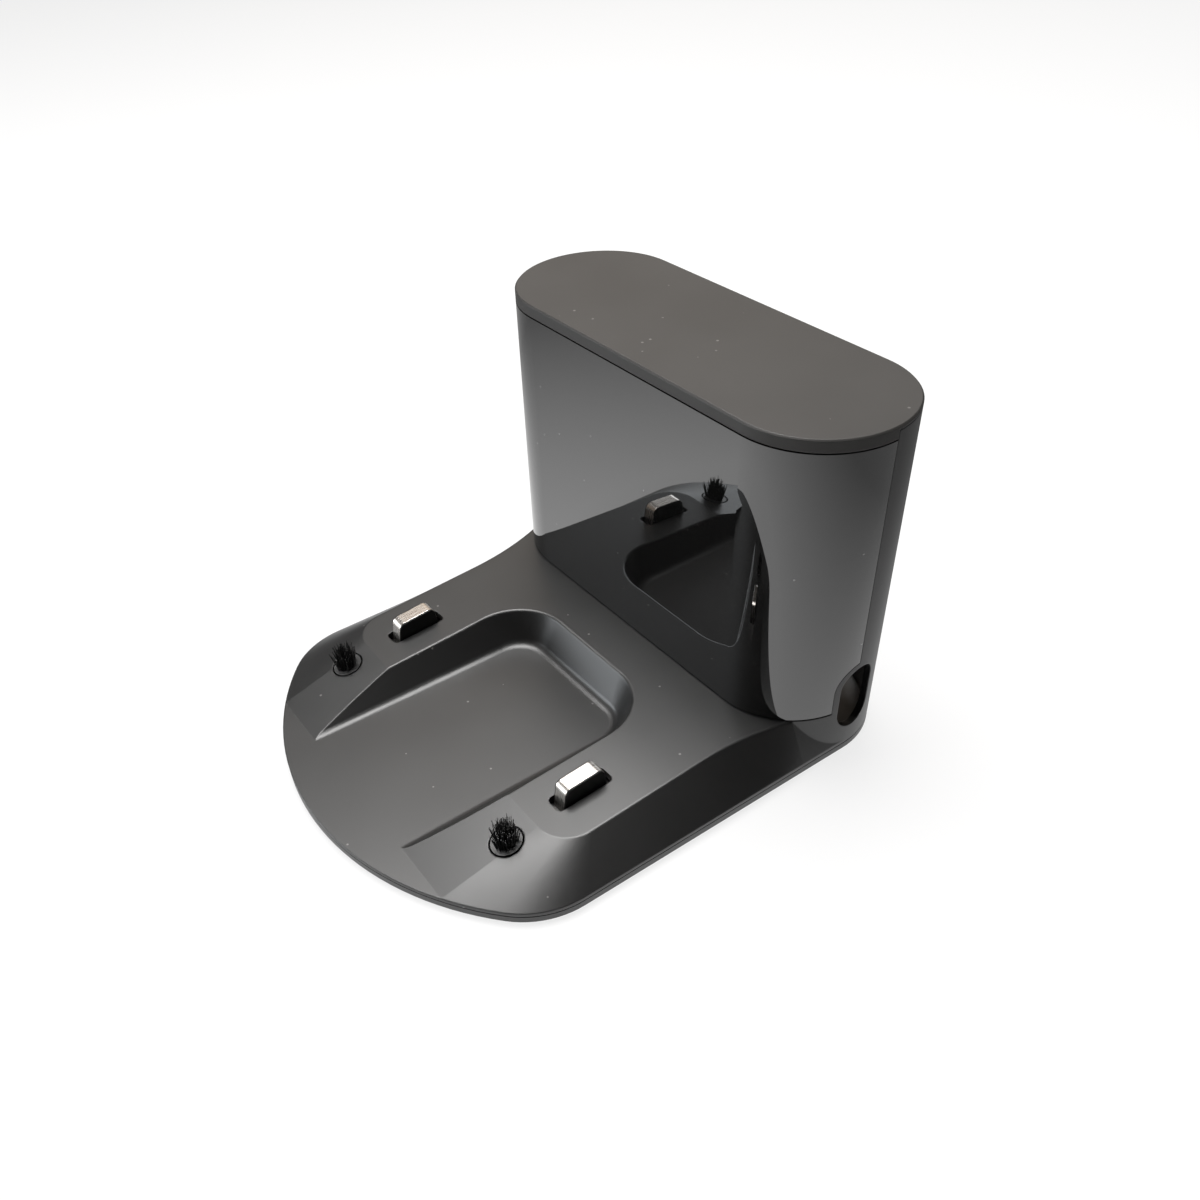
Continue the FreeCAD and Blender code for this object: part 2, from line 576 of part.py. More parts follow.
def front_band(body, name, inner, end, bottom, height):
    """Ring along the front half of the tower, from its skin inwards to the inner radius."""
    plan = new_sketch(body, name, lift=bottom)
    reach = f"({end} - {TOWER_AXIS})"
    outer_x = f"({TOWER_HALF} + sqrt({TOWER_RADIUS}^2 - {reach}^2))"
    inner_x = f"({TOWER_HALF} + sqrt({inner}^2 - {reach}^2))"
    draw_outline(plan, [
        (f"(-{outer_x})", end, TOWER_RADIUS, 1),
        (f"(-{SIDE})", TOWER_AXIS, TOWER_RADIUS, 1),
        (f"(-{TOWER_HALF})", TOWER_FRONT),
        (TOWER_HALF, TOWER_FRONT, TOWER_RADIUS, 1),
        (SIDE, TOWER_AXIS, TOWER_RADIUS, 1),
        (outer_x, end),
        (inner_x, end, inner, -1),
        (f"({TOWER_HALF} + {inner})", TOWER_AXIS, inner, -1),
        (TOWER_HALF, f"({TOWER_AXIS} - {inner})"),
        (f"(-{TOWER_HALF})", f"({TOWER_AXIS} - {inner})", inner, -1),
        (f"(-{TOWER_HALF} - {inner})", TOWER_AXIS, inner, -1),
        (f"(-{inner_x})", end),
    ])
    return pad(body, plan, height)


def cut_below_deck(body, name, lift):
    """Take away all that lies under the deck plane raised by lift."""
    plane = new_sketch(body, name, lift=f"({DECK_AT_ORIGIN} + {lift})", tilt="deck_slope * 1 deg")
    draw_box(plane, "(-base_width)", "(-base_depth)", "base_width", "base_depth")
    return pocket(body, plane)


def cut_round_slot(body, name, border):
    """Clear the cable slot in both tower ends, grown by border."""
    side = new_sketch(body, name, "YZ_Plane")
    draw_stadium(side, f"({TOWER_AXIS} + slot_offset)", "(slot_bottom + slot_length / 2)",
                 "(slot_length - slot_width)", f"(slot_width / 2 + {border})", upright=True)
    return pocket(body, side, "(2 * base_width)", midplane=True)


def make_seat():
    """Space in the front of the housing for the window and the cover's band."""
    body = new_body("window_seat")
    inner = f"({TOWER_RADIUS} - window_thickness - seat_clearance)"
    front_band(body, "ring", inner, WINDOW_END, RECESS_FLOOR, "dock_height")
    cut_below_deck(body, "floor", "0")
    cut_round_slot(body, "slot", "slot_border")
    return body


def make_hollow():
    """Space inside the housing, with the bosses, the posts and the cord bay left standing."""
    body = new_body("housing_hollow")
    foot = new_sketch(body, "foot", lift=f"({SHELL_FOOT} - parting_gap)")
    draw_outline(foot, ramp_foot("wall"))
    deck = new_sketch(body, "deck", lift=f"({DECK_AT_ORIGIN} - wall / {DECK_COS})",
                      tilt="deck_slope * 1 deg")
    draw_outline(deck, ramp_deck("wall"))
    loft(body, "AdditiveLoft", foot, deck)
    cut_recess(body, "tub", "wall", f"({SHELL_FOOT} - parting_gap)")
    shaft = new_sketch(body, "shaft", lift=f"({SHELL_FOOT} - parting_gap)")
    draw_stadium(shaft, "0", TOWER_AXIS, f"(2 * {TOWER_HALF})", INNER_RADIUS)
    pad(body, shaft, "dock_height")
    back = new_sketch(body, "back", lift=f"({SHELL_FOOT} - parting_gap)")
    start = f"({WINDOW_END} + wall)"
    wide = f"({TOWER_RADIUS} - wall)"
    corner = f"({TOWER_HALF} + sqrt({wide}^2 - ({start} - {TOWER_AXIS})^2))"
    draw_outline(back, both_sides([
        (corner, start, wide, 1),
        (TOWER_HALF, f"({REAR} - wall)"),
    ]))
    pad(body, back, "dock_height")
    bay = new_sketch(body, "bay", lift="0")
    draw_box(bay, "(-base_width)", f"({BAY_WALL} - wall)", "base_width", "base_depth")
    pocket(body, bay, "(bay_top + wall)", backwards=True)
    bosses = new_sketch(body, "bosses", lift="0")
    for x, y in screw_places():
        draw_circle(bosses, x, y, "boss_diameter")
    pocket(body, bosses, "boss_height", backwards=True)
    posts = new_sketch(body, "posts", "XZ_Plane", lift=f"(-{REAR})")
    for x, z in board_corners():
        draw_circle(posts, x, z, "post_diameter")
    pocket(body, posts, "(post_length + wall)", backwards=True)
    signal_posts = new_sketch(body, "signal_posts", "XZ_Plane", lift=f"(-{TOWER_FRONT})")
    for x, z in signal_corners():
        draw_circle(signal_posts, x, z, "post_diameter")
    pocket(body, signal_posts, f"({TOWER_RADIUS} - {INNER_RADIUS} + signal_post_length)")
    return body


def screw_places():
    rows = (
        (f"({SIDE} - screw_front_side)", f"({FRONT} + screw_front_inset)"),
        (f"({SIDE} - screw_rear_side)", f"({BAY_WALL} - wall - boss_diameter / 2 + boss_merge)"),
    )
    return [(f"({side}{x})", y) for x, y in rows for side in ("", "-")]


def foot_places():
    rows = (
        ("front", f"({SIDE} - foot_front_side)", f"({FRONT} + foot_front_inset)"),
        ("rear", f"({SIDE} - foot_rear_side)", f"({TOWER_AXIS} + foot_rear_offset)"),
    )
    return [(f"{row}_{name}", f"({side}{x})", y)
            for row, x, y in rows for name, side in (("left", "-"), ("right", ""))]


def board_corners():
    x = "(board_width / 2 - post_inset)"
    low = f"({BOARD_BOTTOM} + post_inset)"
    high = f"({BOARD_TOP} - post_inset)"
    return [(f"({side}{x})", z) for z in (low, high) for side in ("", "-")]


def signal_corners():
    x = "(signal_board_width / 2 - post_diameter / 2)"
    z = "(signal_board_bottom + signal_board_height / 2)"
    return [(x, z), (f"(-{x})", z)]


def emitter_places():
    z = "(signal_board_bottom + signal_board_height / 2)"
    return [("(-emitter_spacing)", z), ("0", z), ("emitter_spacing", z)]


def make_housing():
    body = new_body("housing")
    foot = new_sketch(body, "rim", lift=SHELL_FOOT)
    draw_outline(foot, base_outline())
    pad(body, foot, "floor_thickness")
    low = new_sketch(body, "ramp_foot", lift=RECESS_FLOOR)
    draw_outline(low, ramp_foot())
    high = new_sketch(body, "ramp_deck", lift=DECK_AT_ORIGIN, tilt="deck_slope * 1 deg")
    draw_outline(high, ramp_deck())
    loft(body, "AdditiveLoft", low, high)
    cut_recess(body, "recess", "0", RECESS_FLOOR)
    round_ramp(body)
    tower = new_sketch(body, "tower", lift=SHELL_FOOT)
    draw_stadium(tower, "0", TOWER_AXIS, f"(2 * {TOWER_HALF})", TOWER_RADIUS)
    pad(body, tower, f"({COVER_SEAT} - cover_seam - {SHELL_FOOT})")
    cut_with(body, make_hollow())
    cut_with(body, make_seat())
    cut_bay(body)
    cut_round_slot(body, "cable_slot", "0")
    cut_deck_openings(body)
    cut_pilot_holes(body)
    return body


def round_ramp(body):
    """Fillet round the recess floor, and the soft crease along the edges of the deck."""
    floor = number(RECESS_FLOOR)
    front = number(PAD_FRONT)
    floor_side = number(f"{RECESS_FLOOR_WIDTH} / 2")
    floor_end = number(RECESS_FLOOR_END)
    slack = 0.1
    samples = 5

    def floor_edge(edge):
        box = edge.BoundBox
        middle = edge.CenterOfMass
        inside = abs(middle.x) < floor_side + slack and front < middle.y - slack < floor_end
        return same(box.ZMin, floor) and same(box.ZMax, floor) and inside

    deck_start = number(DECK_AT_ORIGIN)
    deck_rise = number(DECK_TAN)

    flare_end = number(FLARE_END)

    def deck_edge(edge):
        points = edge.discretize(samples)
        level = all(same(point.z, deck_start + deck_rise * point.y) for point in points)
        return level and max(point.y for point in points) < flare_end + slack

    round_edges(body, deck_edge, "edge_rounding")
    round_edges(body, floor_edge, "recess_fillet")


def cut_bay(body):
    """Cord bay in the back, with its mouth and the hole for the mains inlet."""
    room = new_sketch(body, "bay_room", lift="bay_top")
    wide = f"({TOWER_RADIUS} - wall)"
    side = f"({TOWER_HALF} + sqrt({wide}^2 - ({TOWER_AXIS} - {BAY_WALL})^2))"
    draw_outline(room, both_sides([
        (side, BAY_WALL, wide, 1),
        (f"({TOWER_HALF} + {wide})", TOWER_AXIS, wide, 1),
        (TOWER_HALF, f"({REAR} - wall)"),
    ]))
    pocket(body, room, "(bay_top - bay_floor)")
    mouth = new_sketch(body, "bay_mouth", "XZ_Plane", lift=f"(-{REAR})")
    draw_rounded_box(mouth, f"(-{BAY_MOUTH_HALF})", "bay_mouth_bottom", BAY_MOUTH_HALF,
                     "bay_top", "bay_mouth_radius")
    pocket(body, mouth, "(2 * wall)", backwards=True)
    inlet = new_sketch(body, "inlet_hole", "XZ_Plane", lift=f"(-{BAY_WALL})")
    half = "(inlet_width / 2 + seat_clearance)"
    draw_box(inlet, f"(-{half})", "(inlet_middle - inlet_height / 2 - seat_clearance)",
             half, "(inlet_middle + inlet_height / 2 + seat_clearance)")
    pocket(body, inlet, "(3 * wall)", midplane=True)


def cut_deck_openings(body):
    """Slots for the contacts, holes for the brushes and for the infrared emitters."""
    slots = new_sketch(body, "contact_slots")
    for side in ("", "-"):
        x = f"({side}{CONTACT_X})"
        draw_rounded_box(slots, f"({x} - contact_slot_width / 2)", f"({CONTACT_Y} - contact_slot_length / 2)",
                         f"({x} + contact_slot_width / 2)", f"({CONTACT_Y} + contact_slot_length / 2)",
                         "contact_slot_radius")
        draw_circle(slots, f"({side}{BRUSH_X})", BRUSH_Y, "(plug_diameter + 2 * plug_ring_gap)")
    pocket(body, slots, "dock_height", backwards=True)
    eyes = new_sketch(body, "emitter_holes", "XZ_Plane", lift=f"(-{TOWER_FRONT})")
    for x, z in emitter_places():
        draw_circle(eyes, x, z, "(emitter_diameter + 2 * seat_clearance)")
    pocket(body, eyes, f"({TOWER_RADIUS} - {INNER_RADIUS} + wall)")


def cut_pilot_holes(body):
    """Blind holes for the threads of the housing screws and the board screws."""
    holes = new_sketch(body, "pilot_holes", lift=SHELL_FOOT)
    for x, y in screw_places():
        draw_circle(holes, x, y, "screw_diameter")
    pocket(body, holes, "pilot_depth", backwards=True)
    back = new_sketch(body, "board_holes", "XZ_Plane", lift=f"(-({REAR} - wall - post_length))")
    for x, z in board_corners():
        draw_circle(back, x, z, "board_screw_diameter")
    pocket(body, back, "post_length")


def make_top_cover():
    """Lid of the tower, with a band over the window and a rib that locates it."""
    body = new_body("top_cover")
    plate = new_sketch(body, "plate", lift=COVER_SEAT)
    draw_stadium(plate, "0", TOWER_AXIS, f"(2 * {TOWER_HALF})", TOWER_RADIUS)
    pad(body, plate, "cover_edge")
    front_band(body, "band", WINDOW_BACK, f"({WINDOW_END} - seam_gap)",
               "(dock_height - cover_band)", "(cover_band - cover_edge)")
    rib = new_sketch(body, "rib", lift=f"({COVER_SEAT} - locating_depth)")
    outer = f"({INNER_RADIUS} - seat_clearance)"
    for radius in (outer, f"({outer} - locating_rib)"):
        draw_stadium(rib, "0", TOWER_AXIS, f"(2 * {TOWER_HALF})", radius)
    pad(body, rib, "locating_depth")
    top = number("dock_height")
    round_edges(body, lambda edge: same(edge.BoundBox.ZMin, top), "cover_chamfer", "Chamfer")
    return body


def make_front_window():
    """Glossy panel wrapped round the front half of the tower, cut clear of the cable slots."""
    body = new_body("front_window")
    front_band(body, "panel", WINDOW_BACK, f"({WINDOW_END} - seam_gap)", RECESS_FLOOR,
               f"(dock_height - cover_band - window_gap - {RECESS_FLOOR})")
    cut_below_deck(body, "lower_edge", "window_gap")
    cut_round_slot(body, "slot_edge", "(slot_border + seam_gap)")
    return body


def make_bottom_plate():
    body = new_body("bottom_plate")
    plan = new_sketch(body, "plan", lift="foot_stand")
    draw_outline(plan, base_outline())
    pad(body, plan, "plate_thickness")
    heads = new_sketch(body, "head_recesses", lift="foot_stand")
    holes = new_sketch(body, "screw_holes", lift="foot_stand")
    for x, y in screw_places():
        draw_circle(heads, x, y, "(screw_head_diameter + 2 * seat_clearance)")
        draw_circle(holes, x, y, "(screw_diameter + 2 * seat_clearance)")
    pocket(body, heads, "screw_head_sink", backwards=True)
    pocket(body, holes, "plate_thickness", backwards=True)
    feet = new_sketch(body, "foot_recesses", lift="foot_stand")
    for name, x, y in foot_places():
        draw_circle(feet, x, y, "(foot_diameter + seat_clearance)")
    pocket(body, feet, "foot_sink", backwards=True)
    return body


def make_foot(name, x, y):
    body = new_body(f"rubber_foot_{name}", x, y)
    disc = new_sketch(body, "disc")
    draw_circle(disc, "0", "0", "foot_diameter")
    pad(body, disc, "(foot_stand + foot_sink)")
    round_edges(body, lambda edge: same(edge.BoundBox.ZMax, 0), "foot_chamfer", "Chamfer")
    return body


def make_housing_screws():
    body = new_body("housing_screws")
    shoulder = "(foot_stand + screw_head_sink)"
    heads = new_sketch(body, "heads", lift=shoulder)
    shanks = new_sketch(body, "shanks", lift=shoulder)
    for x, y in screw_places():
        draw_circle(heads, x, y, "screw_head_diameter")
        draw_polygon(shanks, x, y, "screw_diameter", SHANK_SIDES)
    pad(body, heads, "screw_head_height", backwards=True)
    pad(body, shanks, "screw_length")
    return body


def carrier_profile(body, name, grow, width):
    """Block with the side view of a contact, grown by grow, and its two upper corners rounded."""
    side = new_sketch(body, name, "YZ_Plane")
    foot = f"(carrier_foot_length / 2 + {grow})"
    top = f"(carrier_top_length / 2 + {grow})"
    height = f"({DECK_AT_CONTACT} + carrier_rise + {grow})"
    draw_outline(side, [
        (f"(-{foot})", FLANGE_TOP),
        (foot, FLANGE_TOP),
        (top, f"({height} + carrier_top_tilt / 2)"),
        (f"(-{top})", f"({height} - carrier_top_tilt / 2)"),
    ])
    pad(body, side, width, midplane=True)
    level = number(FLANGE_TOP) + number("carrier_rise") / 2

    def upper_corner(edge):
        box = edge.BoundBox
        return box.ZMin > level and same(box.ZLength, 0) and same(box.YLength, 0)

    round_edges(body, upper_corner, f"(carrier_rounding + {grow})")


def strip_shell(name, outer_grow, width, x="0", y="0"):
    """Everything round the core of a contact, out to outer_grow beyond the carrier's outline."""
    body = new_body(name, x, y)
    carrier_profile(body, "outside", outer_grow, width)
    core = new_body(f"{name}_core")
    carrier_profile(core, "inside", "(strip_proud - strip_thickness)", "(2 * strip_width)")
    cut_with(body, core)
    return body


def make_contact_carrier(side, x):
    """Plastic block that slides in the deck slot, grooved for its metal strip."""
    body = new_body(f"contact_carrier_{side}", x, CONTACT_Y)
    carrier_profile(body, "block", "0", "carrier_width")
    cut_with(body, strip_shell(f"strip_groove_{side}", "strip_thickness", "strip_width"))
    flange = new_sketch(body, "flange", lift=FLANGE_TOP)
    draw_rounded_box(flange, "(-flange_width / 2)", "(-flange_length / 2)", "(flange_width / 2)",
                     "(flange_length / 2)", "holder_wall")
    pad(body, flange, "flange_thickness", backwards=True)
    return body


def make_contact_strip(side, x):
    return strip_shell(f"contact_strip_{side}", "strip_proud", "strip_width", x, CONTACT_Y)


def make_contact_holder(side, x):
    """Tray on the bottom plate that guides a carrier's flange and centres its spring."""
    body = new_body(f"contact_holder_{side}", x, CONTACT_Y)
    half_width = "(flange_width / 2 + seat_clearance)"
    half_length = "(flange_length / 2 + seat_clearance)"
    block = new_sketch(body, "block", lift=PLATE_TOP)
    draw_rounded_box(block, f"(-{half_width} - holder_wall)", f"(-{half_length} - holder_wall)",
                     f"({half_width} + holder_wall)", f"({half_length} + holder_wall)",
                     "(2 * holder_wall)")
    pad(body, block, f"({FLANGE_TOP} - seat_clearance - {PLATE_TOP})")
    room = new_sketch(body, "room", lift=HOLDER_FLOOR)
    draw_box(room, f"(-{half_width})", f"(-{half_length})", half_width, half_length)
    pocket(body, room, "dock_height", backwards=True)
    pin = new_sketch(body, "pin", lift=HOLDER_FLOOR)
    draw_circle(pin, "0", "0", "spring_pin_diameter")
    pad(body, pin, "spring_pin_height")
    notch = new_sketch(body, "lead_notch", "XZ_Plane", lift=f"(-{half_length})")
    gap = "(lead_diameter / 2 + seat_clearance)"
    draw_box(notch, f"(-{gap})", HOLDER_FLOOR, gap, f"({HOLDER_FLOOR} + 2 * {gap})")
    pocket(body, notch, "(2 * holder_wall)")
    return body


def make_contact_spring(side, x):
    """Coil spring between the tray's floor and the carrier's flange."""
    body = new_body(f"contact_spring_{side}", x, CONTACT_Y)
    wire = new_sketch(body, "wire", "XZ_Plane")
    low = f"({HOLDER_FLOOR} + spring_play + spring_wire / 2)"
    high = f"({FLANGE_TOP} - flange_thickness - spring_play - spring_wire / 2)"
    draw_polygon(wire, "((spring_diameter - spring_wire) / 2)", low, "spring_wire", WIRE_SIDES)
    coil = body.newObject("PartDesign::AdditiveHelix", f"contact_spring_{side}_coil")
    coil.Profile = wire
    coil.ReferenceAxis = (wire, ["V_Axis"])
    coil.Mode = "height-turns-angle"
    coil.setExpression("Height", formula(f"{high} - {low}"))
    coil.setExpression("Turns", formula("spring_turns"))
    grown(body, coil)
    return body


def make_brush_plug(side, x):
    """Round plug that stands on the bottom plate and ends flush with the front slope."""
    body = new_body(f"brush_plug_{side}", x, BRUSH_Y)
    shaft = new_sketch(body, "shaft", lift=PLATE_TOP)
    draw_circle(shaft, "0", "0", "plug_diameter")
    pad(body, shaft, "tuft_top")
    slope = new_sketch(body, "slope", lift=SLOPE_AT_BRUSH, tilt=PAD_SLOPE)
    draw_box(slope, "(-plug_diameter)", "(-plug_diameter)", "plug_diameter", "plug_diameter")
    pocket(body, slope, backwards=True)
    collar = new_sketch(body, "collar", lift=PLATE_TOP)
    draw_circle(collar, "0", "0", "plug_collar_diameter")
    pad(body, collar, "plug_collar_height")
    socket = new_sketch(body, "socket", lift=f"({SLOPE_AT_BRUSH} - tuft_socket_depth)")
    draw_circle(socket, "0", "0", "tuft_diameter")
    pocket(body, socket, "tuft_top", backwards=True)
    return body


def make_brush_tuft(side, x):
    """Locks of bristles that spread from the plug, a middle one and two rings."""
    body = new_body(f"brush_tuft_{side}", x, BRUSH_Y)
    foot = new_sketch(body, "foot", lift=f"({SLOPE_AT_BRUSH} - tuft_socket_depth)")
    draw_polygon(foot, "0", "0", "tuft_diameter", TUFT_SIDES)
    pad(body, foot, f"({SPREAD_START} + bristle_diameter - {SLOPE_AT_BRUSH} + tuft_socket_depth)")
    inner = "((tuft_diameter - bristle_diameter) / 4)"
    inner_tip = "((tuft_tip_diameter - bristle_tip_diameter) / 4)"
    outer = "((tuft_diameter - bristle_diameter) / 2)"
    outer_tip = "((tuft_tip_diameter - bristle_tip_diameter) / 2)"
    for ring, place, tip, count in (("middle", "0", "0", 1), ("inner", inner, inner_tip, 6),
                                    ("outer", outer, outer_tip, 12)):
        start = new_sketch(body, f"{ring}_start", lift=SPREAD_START)
        draw_polygon(start, place, "0", "bristle_diameter", LOCK_SIDES)
        end = new_sketch(body, f"{ring}_end", lift="tuft_top")
        draw_polygon(end, tip, "0", "bristle_tip_diameter", LOCK_SIDES)
        lock = loft(body, "AdditiveLoft", start, end)
        if count > 1:
            turn_round(body, lock, start, count)
    return body


def turn_round(body, feature, sketch, count):
    """Repeat a feature round the upright axis of its sketch."""
    pattern = body.newObject("PartDesign::PolarPattern", f"{feature.Name}_ring")
    pattern.Originals = [feature]
    pattern.Axis = (sketch, ["N_Axis"])
    pattern.Angle = 360
    pattern.Occurrences = count
    grown(body, pattern)


def make_ballast():
    body = new_body("ballast_plate")
    plan = new_sketch(body, "plan", lift=PLATE_TOP)
    rear = f"({BAY_WALL} - wall - ballast_rear_gap)"
    half = f"({CONTACT_X} - ballast_side_gap)"
    draw_rounded_box(plan, f"(-{half})", f"({rear} - ballast_depth)", half, rear, "ballast_corner")
    pad(body, plan, "ballast_thickness")
    return body


def make_main_board():
    body = new_body("main_board")
    plan = new_sketch(body, "plan", "XZ_Plane", lift=f"(-{BOARD_BACK})")
    draw_box(plan, "(-board_width / 2)", BOARD_BOTTOM, "(board_width / 2)", BOARD_TOP)
    for x, z in board_corners():
        draw_circle(plan, x, z, "(board_screw_diameter + seat_clearance)")
    pad(body, plan, "board_thickness")
    return body


def make_board_screws():
    body = new_body("board_screws")
    heads = new_sketch(body, "heads", "XZ_Plane", lift=f"(-{BOARD_FRONT})")
    shanks = new_sketch(body, "shanks", "XZ_Plane", lift=f"(-{BOARD_FRONT})")
    for x, z in board_corners():
        draw_circle(heads, x, z, "board_screw_head")
        draw_polygon(shanks, x, z, "board_screw_diameter", SHANK_SIDES)
    pad(body, heads, "board_screw_head_height")
    pad(body, shanks, "board_screw_length", backwards=True)
    return body


def on_board(name, x, z):
    """Middle of a component on the front face of the main board."""
    return new_body(name, x, BOARD_FRONT, f"({BOARD_BOTTOM} + {z})")


def make_transformer():
    body = on_board("transformer", "transformer_x", "transformer_z")
    winding = new_sketch(body, "winding", "XZ_Plane")
    draw_rounded_box(winding, "(-winding_width / 2)", "(-transformer_height / 2)", "(winding_width / 2)",
                     "(transformer_height / 2)", "wall")
    pad(body, winding, "transformer_depth")
    core = new_sketch(body, "core", "XZ_Plane", lift="((transformer_depth - core_depth) / 2)")
    draw_box(core, "(-transformer_width / 2)", "(-winding_width / 2)", "(transformer_width / 2)",
             "(winding_width / 2)")
    pad(body, core, "core_depth")
    return body


def make_capacitor():
    body = on_board("smoothing_capacitor", "capacitor_x", "capacitor_z")
    can = new_sketch(body, "can", "XZ_Plane")
    draw_circle(can, "0", "0", "capacitor_diameter")
    pad(body, can, "capacitor_length")
    tip = -number("capacitor_length")
    round_edges(body, lambda edge: same(edge.BoundBox.YMax, tip), "capacitor_chamfer", "Chamfer")
    return body


def make_choke():
    body = on_board("filter_choke", "choke_x", "choke_z")
    ring = new_sketch(body, "ring", "XZ_Plane")
    draw_circle(ring, "0", "0", "choke_diameter")
    draw_circle(ring, "0", "0", "choke_hole")
    pad(body, ring, "choke_height")
    return body


def make_fuse():
    body = on_board("mains_fuse", "fuse_x", "fuse_z")
    tube = new_sketch(body, "tube", "YZ_Plane")
    draw_circle(tube, "(-fuse_diameter / 2)", "0", "fuse_diameter")
    pad(body, tube, "fuse_length", midplane=True)
    return body


def make_chip():
    body = on_board("control_chip", "chip_x", "chip_z")
    case = new_sketch(body, "case", "XZ_Plane")
    draw_box(case, "(-chip_length / 2)", "(-chip_width / 2)", "(chip_length / 2)", "(chip_width / 2)")
    pad(body, case, "chip_thickness")
    return body


def make_signal_board():
    body = new_body("signal_board")
    plan = new_sketch(body, "plan", "XZ_Plane", lift=f"(-{SIGNAL_FRONT})")
    draw_box(plan, "(-signal_board_width / 2)", "signal_board_bottom", "(signal_board_width / 2)",
             "(signal_board_bottom + signal_board_height)")
    pad(body, plan, "board_thickness", backwards=True)
    return body


def make_emitters():
    """Infrared emitters that look through the housing at the window."""
    body = new_body("infrared_emitters")
    cans = new_sketch(body, "cans", "XZ_Plane", lift=f"(-{SIGNAL_FRONT})")
    for x, z in emitter_places():
        draw_circle(cans, x, z, "emitter_diameter")
    pad(body, cans, "emitter_length")
    return body


def make_power_inlet():
    """Two-pin mains inlet, pushed through the bay wall from behind."""
    body = new_body("power_inlet", "0", BAY_WALL, "inlet_middle")
    case = new_sketch(body, "case", "XZ_Plane")
    draw_rounded_box(case, "(-inlet_width / 2)", "(-inlet_height / 2)", "(inlet_width / 2)",
                     "(inlet_height / 2)", "inlet_corner")
    pad(body, case, "inlet_depth")
    flange = new_sketch(body, "flange", "XZ_Plane")
    draw_rounded_box(flange, "(-inlet_width / 2 - inlet_flange)", "(-inlet_height / 2 - inlet_flange)",
                     "(inlet_width / 2 + inlet_flange)", "(inlet_height / 2 + inlet_flange)", "inlet_flange")
    pad(body, flange, "inlet_flange_thickness", backwards=True)
    mouth = new_sketch(body, "mouth", "XZ_Plane", lift="(-inlet_flange_thickness)")
    waist = new_sketch(body, "waist", "XZ_Plane", lift="(-inlet_flange_thickness)")
    for side in ("", "-"):
        draw_circle(mouth, f"({side}inlet_pin_spacing / 2)", "0", "inlet_lobe")
    draw_box(waist, "(-inlet_pin_spacing / 2)", "(-inlet_waist / 2)", "(inlet_pin_spacing / 2)",
             "(inlet_waist / 2)")
    for sketch in (mouth, waist):
        pocket(body, sketch, "(inlet_mouth_depth + inlet_flange_thickness)", backwards=True)
    holes = new_sketch(body, "pin_holes", "XZ_Plane")
    for side in ("", "-"):
        draw_circle(holes, f"({side}inlet_pin_spacing / 2)", "0", "inlet_pin_diameter")
    pocket(body, holes, "(2 * inlet_depth)", backwards=True)
    return body


def make_inlet_pins():
    body = new_body("inlet_pins", "0", BAY_WALL, "inlet_middle")
    pins = new_sketch(body, "pins", "XZ_Plane", lift="(inlet_mouth_depth - inlet_pin_length)")
    for side in ("", "-"):
        draw_circle(pins, f"({side}inlet_pin_spacing / 2)", "0", "inlet_pin_diameter")
    pad(body, pins, "(inlet_pin_length + inlet_tail)")
    return body


def rounded_path(points, bend):
    """Wire of straight runs joined by tangent arcs of one radius."""
    edges = []
    last = points[0]
    for before, corner, after in zip(points, points[1:], points[2:]):
        inward = (before - corner).normalize()
        outward = (after - corner).normalize()
        half = inward.getAngle(outward) / 2
        start = corner + inward * (bend / math.tan(half))
        end = corner + outward * (bend / math.tan(half))
        centre = corner + (inward + outward).normalize() * (bend / math.sin(half))
        middle = centre + (corner - centre).normalize() * bend
        edges.append(Part.LineSegment(last, start).toShape())
        edges.append(Part.Arc(start, middle, end).toShape())
        last = end
    edges.append(Part.LineSegment(last, points[-1]).toShape())
    return Part.Wire(edges)


def make_lead(name, stops):
    """Insulated wire along its stops, each given as formulas."""
    points = [FreeCAD.Vector(*[number(place) for place in stop]) for stop in stops]
    path = rounded_path(points, number("lead_bend"))
    heading = (points[1] - points[0]).normalize()
    circle = Part.Circle(points[0], heading, number("lead_diameter / 2"))
    corners = [circle.value(2 * math.pi * index / LEAD_SIDES) for index in range(LEAD_SIDES)]
    section = Part.makePolygon(corners + corners[:1])
    lead = document.addObject("Part::Feature", name)
    lead.Label = name
    lead.Shape = path.makePipeShell([section], True, True)
    return lead


def make_contact_lead(side, sign):
    """Wire from a contact's tray, along the base and up the tower to the main board."""
    x = f"({sign}{CONTACT_X})"
    level = f"({HOLDER_FLOOR} + lead_diameter / 2 + spring_play)"
    upright = f"({BAY_WALL} - wall - lead_back)"
    over = "(bay_top + wall + lead_rise)"
    return make_lead(f"contact_lead_{side}", [
        (x, f"({CONTACT_Y} + flange_length / 2 + seat_clearance)", level),
        (x, upright, level),
        (x, upright, over),
        (f"({sign}lead_board_x)", f"({BOARD_FRONT} - lead_diameter / 2)", f"({over} + lead_rise)"),
    ])


def check_and_write():
    for item in document.Objects:
        if "Invalid" in item.State or "Error" in item.State:
            raise RuntimeError(f"{item.Label} failed: {item.State}")
    os.makedirs("parts", exist_ok=True)
    for body in SUB_PARTS:
        shape = body.Shape
        if shape.isNull() or not shape.isValid() or not shape.Solids:
            raise RuntimeError(f"{body.Label} is not a valid solid")
        shape.exportStep(f"parts/{body.Label}.step")


